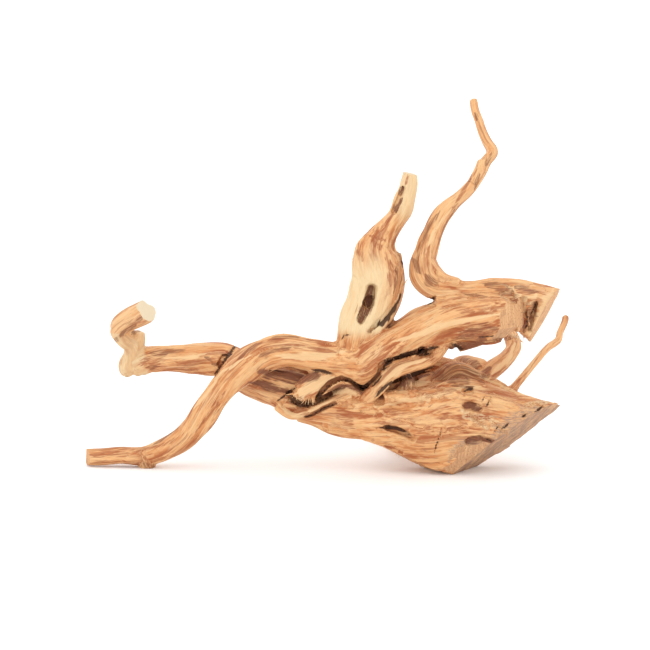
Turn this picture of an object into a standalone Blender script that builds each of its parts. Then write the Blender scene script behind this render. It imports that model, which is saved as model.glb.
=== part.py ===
"""Spiderwood root: the sawn rootstock of an azalea shrub with its twisted roots, stripped of bark and dried.

It grew as one piece, so it is one solid. Each root is a fluted tube through a few stations. The tubes are
fused by a voxel remesh, their joins are relaxed into fillets, hollows are pressed in, and the saw cuts and the
three flats it stands on are made last. The frame is +Z up, and the viewer of the front stands at -Y.
"""

import math

import bmesh
import bpy
import numpy as np
from mathutils import Matrix, Vector, noise

MM = 0.001

# Fineness of the model, in millimetres unless said otherwise
VOXEL = 1.0
RING_STEP = 2.5
RING_SIDES = 20
RELAX_ROUNDS = 4
RELAX_LOSS = 0.6
TRIANGLES = 10400

# Flutes: strands under the surface that wind slowly along each root, as shares of its half width up to the limit
FLUTE_LIMIT = 12.0
FLUTE_COARSE = 0.30
FLUTE_FINE = 0.16
FLUTE_COARSE_LENGTH = 45.0
FLUTE_FINE_LENGTH = 22.0
FLUTE_TWIST = 0.012

# Stations along each root, in millimetres: x, y, z, width seen from the front, thickness from front to back
ROOTS = {
    "upper_log": [
        (0, -29, 70, 20, 20),
        (14, -26, 69, 28, 26),
        (27, -26, 75, 28, 26),
        (41, -27, 82, 24, 24),
        (59, -29, 90, 26, 24),
        (77, -33, 95, 26, 24),
        (95, -36, 96, 25, 23),
        (108, -40, 97.5, 19, 17),
        (117, -42.5, 98, 18, 16),
    ],
    "crown_plate": [
        (108, -24, 107, 17, 18),
        (122, -22, 105, 20, 20),
        (131, -20, 100, 20, 20),
        (126, -20, 92, 19, 20),
        (118, -22, 84, 13, 14),
    ],
    "crown_web": [
        (62, -28, 106, 8, 12),
        (80, -28, 106, 10, 14),
        (100, -28, 106, 11, 14),
        (116, -27, 104, 11, 14),
    ],
    "standing_root": [
        (140, -19, 107, 13, 13),
        (124, -20, 109, 13, 13),
        (112, -21, 111, 14, 14),
        (99, -22, 112, 14, 14),
        (84, -24, 112, 13, 13),
        (70, -25, 114, 13, 13),
        (60, -26, 116, 14, 14),
        (54.6, -26, 121.5, 15, 14),
        (53.5, -25, 130, 14.5, 14),
        (55.3, -23, 137, 13, 13),
        (57.3, -21, 143, 12.5, 12),
        (60.2, -18, 149, 11, 11),
        (64.2, -15, 156, 10.5, 10),
        (69.3, -11, 162, 9.8, 9.5),
        (76, -7, 167, 8, 8),
        (83.5, -2, 173, 7.5, 7.5),
        (88.5, 2, 179, 7, 7),
        (92, 5, 185, 7, 7),
        (95, 7, 191, 6.6, 6.6),
        (99, 9, 196, 6.4, 6.4),
        (95.5, 12, 203, 5.4, 5.4),
        (93, 15, 209, 5, 5),
        (91, 18, 216, 4.8, 4.8),
        (89, 21, 222, 4.5, 4.5),
        (88, 24, 229, 4.2, 4.2),
    ],
    "crown_fillet": [
        (56, -25, 131, 9, 10),
        (60, -25, 124, 10, 10),
        (66, -25, 119, 9, 10),
        (76, -25, 116, 8, 9),
    ],
    "knee_shoulder": [
        (87, 0, 178, 6.5, 6.5),
        (90.5, 3, 185, 6, 6),
        (92.5, 5, 191.5, 5, 5),
    ],
    "swollen_shoot": [
        (12, -26, 78, 22, 20),
        (15, -26, 88, 27, 21),
        (17.5, -25, 95, 30, 22),
        (20.5, -25, 101, 31.5, 22),
        (24, -24, 110, 33.5, 23),
        (27, -23, 119, 33.5, 23),
        (27, -22, 130, 30.5, 21),
        (27, -21, 138, 25, 19),
        (29.3, -20, 144, 18, 16),
        (34, -18, 151, 13.5, 13),
        (38.5, -16, 157, 12.5, 12),
        (41.5, -15, 162, 13, 12),
        (43, -14, 168, 12.5, 11),
        (45, -13, 174, 11, 10),
        (46, -12, 180, 10, 9),
        (46.3, -11, 187, 6.4, 6),
    ],
    "front_arm": [
        (14, -26, 69, 28, 26),
        (0, -29, 70, 20, 20),
        (-15, -31, 73, 18, 18),
        (-29, -31.5, 75.5, 18.5, 18.5),
        (-41, -32, 74.5, 19, 19),
        (-53, -31, 67, 18, 18),
        (-64, -30, 58, 16.5, 16.5),
        (-73, -28, 47, 15.5, 15.5),
        (-83, -25, 33, 15, 15),
        (-92.5, -22, 21, 13.5, 13.5),
        (-106, -18, 11, 12, 12),
        (-115, -17, 7.5, 11, 11),
        (-122.5, -16, 6.5, 10.7, 10.7),
        (-135, -15, 6.7, 9.5, 9.5),
        (-148, -15, 6, 8.8, 8.8),
        (-160, -14, 5.5, 8, 8),
    ],
    "arm_ridge": [
        (-74, -24, 53, 6, 6),
        (-66, -22, 62, 8, 8),
        (-56, -21, 72, 9, 9),
        (-45, -22, 77, 9, 9),
        (-21, -25, 79, 8, 8),
        (2, -26, 75, 9, 9),
    ],
    "arm_knuckle": [
        (-119, -17, 6, 9, 10),
        (-118, -17, 2, 9, 10),
        (-117, -17, -2, 7, 8),
    ],
    "hook": [
        (-110, -24, 105, 12.5, 12.5),
        (-117, -19, 99, 12.5, 12.5),
        (-124, -14, 95, 12.5, 12.5),
        (-132, -10, 90, 12.5, 12.5),
        (-135, -5, 86, 11.5, 11.5),
        (-132, 0, 80, 11, 11),
        (-128, 3, 76, 11.5, 11.5),
        (-127, 4, 71, 12, 12),
        (-128, 4, 65, 13.5, 13.5),
        (-129.5, 4, 59, 14.5, 14),
        (-128, 4, 56, 10, 10),
    ],
    "hook_spur": [
        (-126.5, 3, 73, 9, 9),
        (-125, 1, 79, 8, 8),
        (-124, 0, 83.5, 6, 6),
    ],
    "back_arm": [
        (-128, 4, 62, 14, 14),
        (-117, 4, 65, 14.5, 15.5),
        (-108, 3, 66, 15, 16),
        (-95, 0, 66.5, 16, 17),
        (-82, -3, 67, 18.5, 18),
        (-69, -6, 66.5, 22, 20),
        (-58, -10, 60, 23, 21),
        (-44, -14, 54, 22, 20),
        (-28, -18, 48, 22, 20),
        (-10, -22, 42, 22, 22),
    ],
    "inner_strand": [
        (-66, -8, 62, 14, 14),
        (-45, -6, 61, 16, 14),
        (-20, -9, 60, 17, 14),
        (5, -12, 57, 18, 16),
        (28, -9, 52, 24, 16),
        (45, -6, 55, 28, 16),
        (60, -4, 60, 20, 14),
        (74, -5, 58, 14, 14),
    ],
    "stump": [
        (-22, -21, 40, 20, 20),
        (-3, -23, 37, 24, 22),
        (19, -24, 33, 28, 26),
        (41, -26, 30.5, 38, 31),
        (59, -28, 28.5, 54, 36),
        (75, -29, 28, 61, 39),
        (90, -29, 24, 62, 41),
        (105, -28, 18, 64, 41),
        (120, -28, 13, 65, 41),
        (140, -27, 8, 65, 41),
    ],
    "stump_strand_top": [
        (31, -31, 46, 8, 8),
        (44, -33, 47, 8, 8),
        (60, -38, 49, 9, 8),
        (72, -40, 50, 9, 8),
        (88, -40, 48, 10, 8),
        (104, -38, 43, 10, 8),
        (122, -37, 36, 10, 8),
    ],
    "stump_strand_middle": [
        (8, -30, 42, 8, 8),
        (31, -35, 38, 9, 8),
        (52, -41, 32, 10, 8),
        (71, -45, 29, 11, 8),
        (90, -45, 31, 10, 8),
    ],
    "stump_strand_low": [
        (-3, -28, 30, 8, 8),
        (22, -32, 25, 9, 8),
        (46, -35, 15, 10, 9),
        (63, -37, 8, 10, 9),
        (74, -38, 5, 9, 9),
    ],
    "stump_strand_rear": [
        (8, -14, 37, 9, 9),
        (35, -13, 31, 10, 10),
        (60, -12, 25, 12, 11),
        (85, -11, 19, 13, 12),
        (112, -10, 10, 13, 12),
    ],
    "stump_strand_under": [
        (20, -16, 24, 9, 9),
        (42, -18, 14, 10, 10),
        (62, -20, 5, 11, 11),
        (78, -20, 1, 10, 10),
    ],
    "stump_ridge": [
        (56, -18, 48, 16, 16),
        (66, -14, 52, 19, 19),
        (76, -11, 57, 19, 19),
        (85, -10, 53, 17, 18),
        (98, -11, 47, 15, 17),
        (111, -14, 41.5, 13, 16),
        (126, -16, 37, 11.5, 14),
        (141, -18, 34, 11, 14),
    ],
    "cross_root": [
        (15, -30, 39, 7.5, 7.5),
        (18, -31, 44, 7.5, 7.5),
        (25, -33, 51.5, 8, 8),
        (31.5, -34, 59, 9, 8),
        (38, -34, 65, 10, 8),
        (46, -33, 67.5, 9.5, 8),
        (55, -32, 69.5, 8, 8),
        (61, -31, 73, 8.5, 8),
        (65, -30, 79, 10, 9),
        (67, -30, 86, 12, 10),
    ],
    "log_nub": [
        (72, -26, 90, 14, 13),
        (74, -24, 82, 11, 11),
        (75, -23, 78, 8, 9),
    ],
    "log_nub_tail": [
        (76, -23, 78.5, 8, 9),
        (85, -26, 82.5, 9, 9),
        (96, -30, 88, 9, 9),
    ],
    "torn_stub": [
        (9, -30, 67, 16, 9),
        (-1, -31, 60, 15, 8),
        (-10, -33, 56, 15, 7),
        (-17, -34, 52.5, 14, 6.5),
        (-22, -34.5, 50, 11, 5.5),
    ],
    "torn_tooth_left": [
        (-20, -34, 51, 6, 5),
        (-24, -35, 48, 4.5, 3.5),
        (-27.5, -35.5, 46, 2.5, 2.5),
    ],
    "torn_tooth_middle": [
        (-16, -34, 51, 6, 5),
        (-20, -35, 46.5, 4.5, 3.5),
        (-22.5, -35.5, 43, 2.5, 2.5),
    ],
    "torn_tooth_right": [
        (-11, -33.5, 53, 6, 5),
        (-13, -34.5, 48, 4.5, 3.5),
        (-13.5, -35, 43.5, 2.5, 2.5),
    ],
    "knob": [
        (2, -25, 47, 8, 9),
        (8, -26, 50.5, 8, 9),
        (14, -26, 50, 8, 9),
        (19, -27, 46, 8, 9),
    ],
    "torn_rim": [
        (10, -30, 48, 5.5, 5.5),
        (2, -32, 45, 5, 5),
        (-8, -33, 42, 5, 5),
        (-18, -32, 37.5, 5.5, 5.5),
        (-27, -29, 35.5, 5.5, 5.5),
        (-36, -26, 41, 6, 6),
    ],
    "lump": [
        (42, -24, 45, 9, 9),
        (45, -24, 53, 9, 9),
        (44, -23, 61, 7.5, 8),
    ],
    "lump_side": [
        (44, -22, 46, 9, 9),
        (53, -22, 51, 8, 9),
        (64, -20, 50, 8, 9),
    ],
    "rear_stub": [
        (80, -8, 53, 13, 13),
        (80.5, -2, 60, 12.5, 12),
        (86, 6, 61.5, 11.5, 11),
        (94, 14, 58.5, 10, 10),
    ],
    "rear_root": [
        (77, -8, 48, 13, 13),
        (84, -2, 50, 11.5, 11.5),
        (93, 6, 53, 10.5, 10.5),
        (101.5, 14, 57, 10, 10),
        (109, 22, 61, 9.5, 9.5),
        (114, 30, 64.5, 9, 9),
        (117.3, 36, 68.5, 8.4, 8.4),
        (117, 42, 73, 8, 8),
        (115, 48, 77.5, 7.2, 7.2),
        (113, 53, 83, 5.5, 5.5),
    ],
    "rear_twig": [
        (102, -10, 39, 6, 6),
        (107.5, -9.5, 43.5, 4.6, 4.6),
        (111.7, -9, 48, 3.8, 3.8),
        (116.1, -4, 51.7, 3.5, 3.5),
        (122.8, 6, 56.8, 3.4, 3.4),
        (130.5, 18, 62.6, 3.4, 3.4),
        (136.8, 28, 67.3, 3.5, 3.5),
        (140.4, 34, 69.3, 3.7, 3.7),
        (144.6, 39, 70.9, 3.8, 3.8),
        (147.2, 42, 72.6, 3.9, 3.9),
        (148.5, 45, 76.3, 3.6, 3.6),
        (150.5, 48, 79.5, 3.4, 3.4),
        (152.5, 51, 82.7, 3.3, 3.3),
        (153.8, 54, 86.2, 3.2, 3.2),
    ],
    "rear_leg": [
        (60, -14, 34, 24, 22),
        (54, 5, 25, 19, 18),
        (51, 18, 17, 15.5, 15),
        (45, 32, 9, 13, 12.5),
        (44, 46, 3.5, 11, 10.5),
        (50, 58, 3, 9, 9),
        (58, 66, 7, 6.5, 6.5),
        (62, 71, 13, 4.5, 4.5),
    ],
    "rear_leg_fork": [
        (45, 36, 7, 8, 8),
        (38, 50, 5, 7, 7),
        (31, 60, 7, 5.5, 5.5),
        (27, 66, 12, 4, 4),
    ],
}

# Saw cuts, in millimetres: a point on the cut, the way the cut face looks, half its side, how deep the waste is
SAW_CUTS = {
    "trunk": ((108, -27, 20.5), (0.555, -0.396, -0.732), 75, 60),
    "crown": ((130, -20, 97), (0.83, -0.334, -0.437), 27, 40),
    "log_end": ((107.5, -40.5, 98), (0.7, -0.7, 0.1), 12, 18),
    "hook_end": ((-116, -20, 99), (0.59, -0.566, 0.574), 12, 12),
    "arm_end": ((-157, -14, 5), (-1, 0, 0.05), 12, 12),
    "shoot_end": ((47, -12, 184), (0.2, -0.08, 0.97), 9, 9),
}

# Hollows, in millimetres: the points of the hollow's floor line, its half width and its depth from the front
HOLLOWS = {
    "shoot_cavity_wide": (((22.5, -34, 115), (21, -34, 107)), 3.8, 7.0),
    "shoot_cavity_tail": (((21, -34, 107), (16, -34, 97)), 2.4, 4.0),
    "shoot_slot": (((42, -22, 175), (39.5, -22, 168), (36.5, -22, 161)), 1.8, 3.5),
    "shoot_seam": (((41, -30, 130), (40, -30, 120), (37, -31, 110), (31, -32, 100), (21, -34, 89)), 1.6, 2.5),
    "stump_eye": (((79, -40, 52.5), (83, -40, 53)), 2.0, 3.0),
    "stump_pit_upper": (((80.5, -42, 44), (87, -42, 42.5)), 3.4, 3.0),
    "stump_pit_lower": (((83, -44, 23), (90, -44, 24), (97, -44, 22)), 3.4, 4.0),
    "stump_groove": (((33, -38, 30), (38, -38, 28.5), (44, -38, 26), (48, -38, 23.5)), 2.6, 4.0),
    "torn_arch": (((-11, -38, 47), (-8, -38, 52), (-3, -38, 57), (4, -38, 60), (9, -38, 58.5), (17, -38, 52)), 1.7, 5.0),
    "log_crease": (((17, -36, 52), (23, -36, 57.5), (27, -36, 62.5), (28.5, -36, 69), (34, -36, 72), (53, -35, 77)), 1.6, 5.0),
    "rim_gap": (((-28, -38, 48.5), (-21.5, -38, 43.5), (-11.5, -38, 45), (-3, -38, 48.5)), 2.2, 5.0),
    "rim_crease": (((0, -36, 44), (-9, -36, 39.5), (-17.5, -36, 35.5)), 1.5, 2.5),
    "crown_eye": (((54.5, -34, 75), (58.5, -34, 75)), 2.2, 5.0),
    "plate_groove": (((123.5, -32, 106), (122, -32, 98), (120, -32, 89)), 1.5, 4.0),
    "fissure": (((-66.5, -28, 76), (-70, -28, 69), (-75, -28, 60)), 1.8, 3.0),
}
HOLLOW_REACH = 12.0


def clear_scene():
    for obj in list(bpy.data.objects):
        bpy.data.objects.remove(obj)


def smooth_route(stations, step):
    """Points, widths and thicknesses every step along a smooth curve through the stations."""
    knots = np.array(stations, float)
    spans = np.linalg.norm(np.diff(knots[:, :3], axis=0), axis=1)
    slopes = np.diff(knots, axis=0) / spans[:, None]
    inner = (slopes[:-1] * spans[1:, None] + slopes[1:] * spans[:-1, None]) / (spans[:-1] + spans[1:])[:, None]
    tangents = np.vstack([slopes[:1], inner, slopes[-1:]])
    pieces = []
    for i, span in enumerate(spans):
        t = np.linspace(0, 1, max(2, math.ceil(span / step)) + 1)[:-1, None]
        pieces.append(
            (2 * t**3 - 3 * t**2 + 1) * knots[i]
            + (t**3 - 2 * t**2 + t) * span * tangents[i]
            + (3 * t**2 - 2 * t**3) * knots[i + 1]
            + (t**3 - t**2) * span * tangents[i + 1]
        )
    return np.vstack([*pieces, knots[-1:]])


def flute(turn, along, seed):
    """How far the surface swells or sinks at a turn round the root and a length along it, as a share."""
    angle = turn + FLUTE_TWIST * along
    cos, sin = math.cos(angle), math.sin(angle)
    coarse = noise.noise(Vector((1.1 * cos, 1.1 * sin, along / FLUTE_COARSE_LENGTH + seed)))
    fine = noise.noise(Vector((2.6 * cos, 2.6 * sin, along / FLUTE_FINE_LENGTH - seed)))
    return FLUTE_COARSE * coarse + FLUTE_FINE * fine


def add_tube(shape, stations, seed):
    """Adds one fluted root to the bmesh: rings square to its route, bridged, and closed at both ends."""
    route = smooth_route(stations, RING_STEP).tolist()
    points = [Vector(row[:3]) for row in route]
    steps = [points[1] - points[0], *(b - a for a, b in zip(points, points[2:])), points[-1] - points[-2]]
    across = steps[0].cross(Vector((0, 1, 0)))
    along = 0.0
    rings = []
    for i, point in enumerate(points):
        forward = steps[i].normalized()
        across = (across - forward * across.dot(forward)).normalized()
        back = forward.cross(across)
        along += (point - points[i - 1]).length if i else 0.0
        wide, deep = route[i][3] / 2 + RELAX_LOSS, route[i][4] / 2 + RELAX_LOSS
        ring = []
        for k in range(RING_SIDES):
            turn = math.tau * k / RING_SIDES
            swell = 1 + flute(turn, along, seed) * min(1, FLUTE_LIMIT / wide)
            spot = point + swell * (across * wide * math.cos(turn) + back * deep * math.sin(turn))
            ring.append(shape.verts.new(spot * MM))
        rings.append(ring)
    for lower, upper in zip(rings, rings[1:]):
        for k in range(RING_SIDES):
            shape.faces.new((lower[k - 1], lower[k], upper[k], upper[k - 1]))
    shape.faces.new(rings[0][::-1])
    shape.faces.new(rings[-1])


def apply_modifier(obj, kind, **settings):
    modifier = obj.modifiers.new(kind.title(), kind)
    for name, value in settings.items():
        setattr(modifier, name, value)
    bpy.context.view_layer.objects.active = obj
    bpy.ops.object.modifier_apply(modifier=modifier.name)


def fuse_roots():
    """One closed skin round all the roots, with its creases relaxed into fillets."""
    shape = bmesh.new()
    for number, stations in enumerate(ROOTS.values()):
        add_tube(shape, stations, seed=10.0 * number)
    bmesh.ops.recalc_face_normals(shape, faces=shape.faces)
    mesh = bpy.data.meshes.new("spiderwood_root")
    shape.to_mesh(mesh)
    shape.free()
    wood = bpy.data.objects.new("spiderwood_root", mesh)
    bpy.context.scene.collection.objects.link(wood)
    apply_modifier(wood, "REMESH", mode="VOXEL", voxel_size=VOXEL * MM)
    apply_modifier(wood, "SMOOTH", factor=0.5, iterations=RELAX_ROUNDS)
    return wood


def press_hollows(wood):
    """Sinks the rotted hollows and grooves into the front, each along its own line."""
    mesh = wood.data
    points = np.empty(len(mesh.vertices) * 3)
    normals = np.empty_like(points)
    mesh.vertices.foreach_get("co", points)
    mesh.vertices.foreach_get("normal", normals)
    points = points.reshape(-1, 3) / MM
    normals = normals.reshape(-1, 3)
    for line, half_width, depth in HOLLOWS.values():
        aside = np.full(len(points), np.inf)
        away = np.full(len(points), np.inf)
        for start, end in zip(np.array(line[:-1], float), np.array(line[1:], float)):
            share = np.clip((points - start) @ (end - start) / ((end - start) @ (end - start)), 0, 1)
            gap = points - (start + share[:, None] * (end - start))
            aside = np.minimum(aside, np.hypot(gap[:, 0], gap[:, 2]) / half_width)
            away = np.minimum(away, np.abs(gap[:, 1]))
        sink = np.clip(1 - aside**3, 0, 1)
        front = (away < HOLLOW_REACH) & (normals[:, 1] < 0)
        points[:, 1] += depth * sink * front
    mesh.vertices.foreach_set("co", (points * MM).ravel())
    mesh.update()


def cutting_block(point, facing, half_side, depth):
    """A box whose one face lies on the cut, and which holds the waste beyond it."""
    bpy.ops.mesh.primitive_cube_add(size=1)
    block = bpy.context.object
    turn = Vector(facing).to_track_quat("Z", "Y").to_matrix().to_4x4()
    size = Matrix.Diagonal((2 * half_side, 2 * half_side, depth, 1))
    lift = Matrix.Translation((0, 0, depth / 2))
    block.data.transform(Matrix.Scale(MM, 4) @ Matrix.Translation(point) @ turn @ lift @ size)
    return block


def saw(wood, point, facing, half_side, depth):
    block = cutting_block(point, facing, half_side, depth)
    apply_modifier(wood, "BOOLEAN", operation="DIFFERENCE", solver="EXACT", object=block)
    bpy.data.objects.remove(block)


def stand_on_origin(wood):
    """Puts the middle of the footprint over the origin, with the lowest point on the surface."""
    corners = np.array([vertex.co for vertex in wood.data.vertices])
    low, high = corners.min(axis=0), corners.max(axis=0)
    middle = (low + high) / 2
    wood.data.transform(Matrix.Translation((-middle[0], -middle[1], -low[2])))


def wood_material():
    material = bpy.data.materials.new("stripped_azalea_wood")
    material.use_nodes = True
    finish = material.node_tree.nodes["Principled BSDF"]
    finish.inputs["Base Color"].default_value = (0.62, 0.33, 0.15, 1)
    finish.inputs["Roughness"].default_value = 0.62
    finish.inputs["Metallic"].default_value = 0.0
    return material


def shape_wood():
    wood = fuse_roots()
    press_hollows(wood)
    apply_modifier(wood, "DECIMATE", ratio=TRIANGLES / (2 * len(wood.data.polygons)))
    for cut in SAW_CUTS.values():
        saw(wood, *cut)
    saw(wood, (0, 0, 0), (0, 0, -1), 200, 30)
    return wood


def build():
    clear_scene()
    wood = shape_wood()
    stand_on_origin(wood)
    wood.data.materials.append(wood_material())
    wood.data.shade_smooth()


build()
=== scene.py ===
"""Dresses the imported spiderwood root: relief, hollows, saw cuts, torn fibres, wood finishes and a studio."""

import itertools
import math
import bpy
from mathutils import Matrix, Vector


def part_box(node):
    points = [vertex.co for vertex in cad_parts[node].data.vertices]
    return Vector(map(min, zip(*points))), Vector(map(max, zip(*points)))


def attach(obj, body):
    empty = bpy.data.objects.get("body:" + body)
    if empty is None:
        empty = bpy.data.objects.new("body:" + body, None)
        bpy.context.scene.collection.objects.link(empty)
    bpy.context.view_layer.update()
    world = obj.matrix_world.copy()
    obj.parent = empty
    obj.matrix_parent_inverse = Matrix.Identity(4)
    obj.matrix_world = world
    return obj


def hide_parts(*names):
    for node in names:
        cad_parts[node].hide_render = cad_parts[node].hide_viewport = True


bl_info = {
    "name": "Spiderwood Root",
    "version": (1, 0, 0),
    "blender": (4, 5, 0),
    "location": "3D View > Sidebar > Spiderwood",
    "description": "Grows a stripped and dried azalea root round its packed solid, and lights it",
    "category": "Object",
}

import bmesh
import bpy
import numpy as np
from mathutils import Matrix, Vector, noise
from mathutils.bvhtree import BVHTree

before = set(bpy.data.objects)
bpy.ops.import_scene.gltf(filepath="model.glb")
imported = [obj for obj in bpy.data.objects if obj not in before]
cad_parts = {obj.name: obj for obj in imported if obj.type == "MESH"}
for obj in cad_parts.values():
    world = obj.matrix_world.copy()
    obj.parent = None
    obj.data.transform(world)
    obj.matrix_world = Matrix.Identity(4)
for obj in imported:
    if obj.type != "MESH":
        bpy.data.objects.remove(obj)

MM = 0.001
NODE = "spiderwood_root"

# The stations are given from the root's own middle, and this moves them to the frame, in millimetres
OFFSET = (1.04, -11.19, 0.0)

# The same strands under the surface as in the solid, and how fine the rings are laid
RING_STEP = 1.3
RING_SIDES = 40
RELAX_LOSS = 0.6
FLUTE_LIMIT = 12.0
FLUTE_COARSE = 0.30
FLUTE_FINE = 0.16
FLUTE_COARSE_LENGTH = 45.0
FLUTE_FINE_LENGTH = 22.0
FLUTE_TWIST = 0.012

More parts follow.
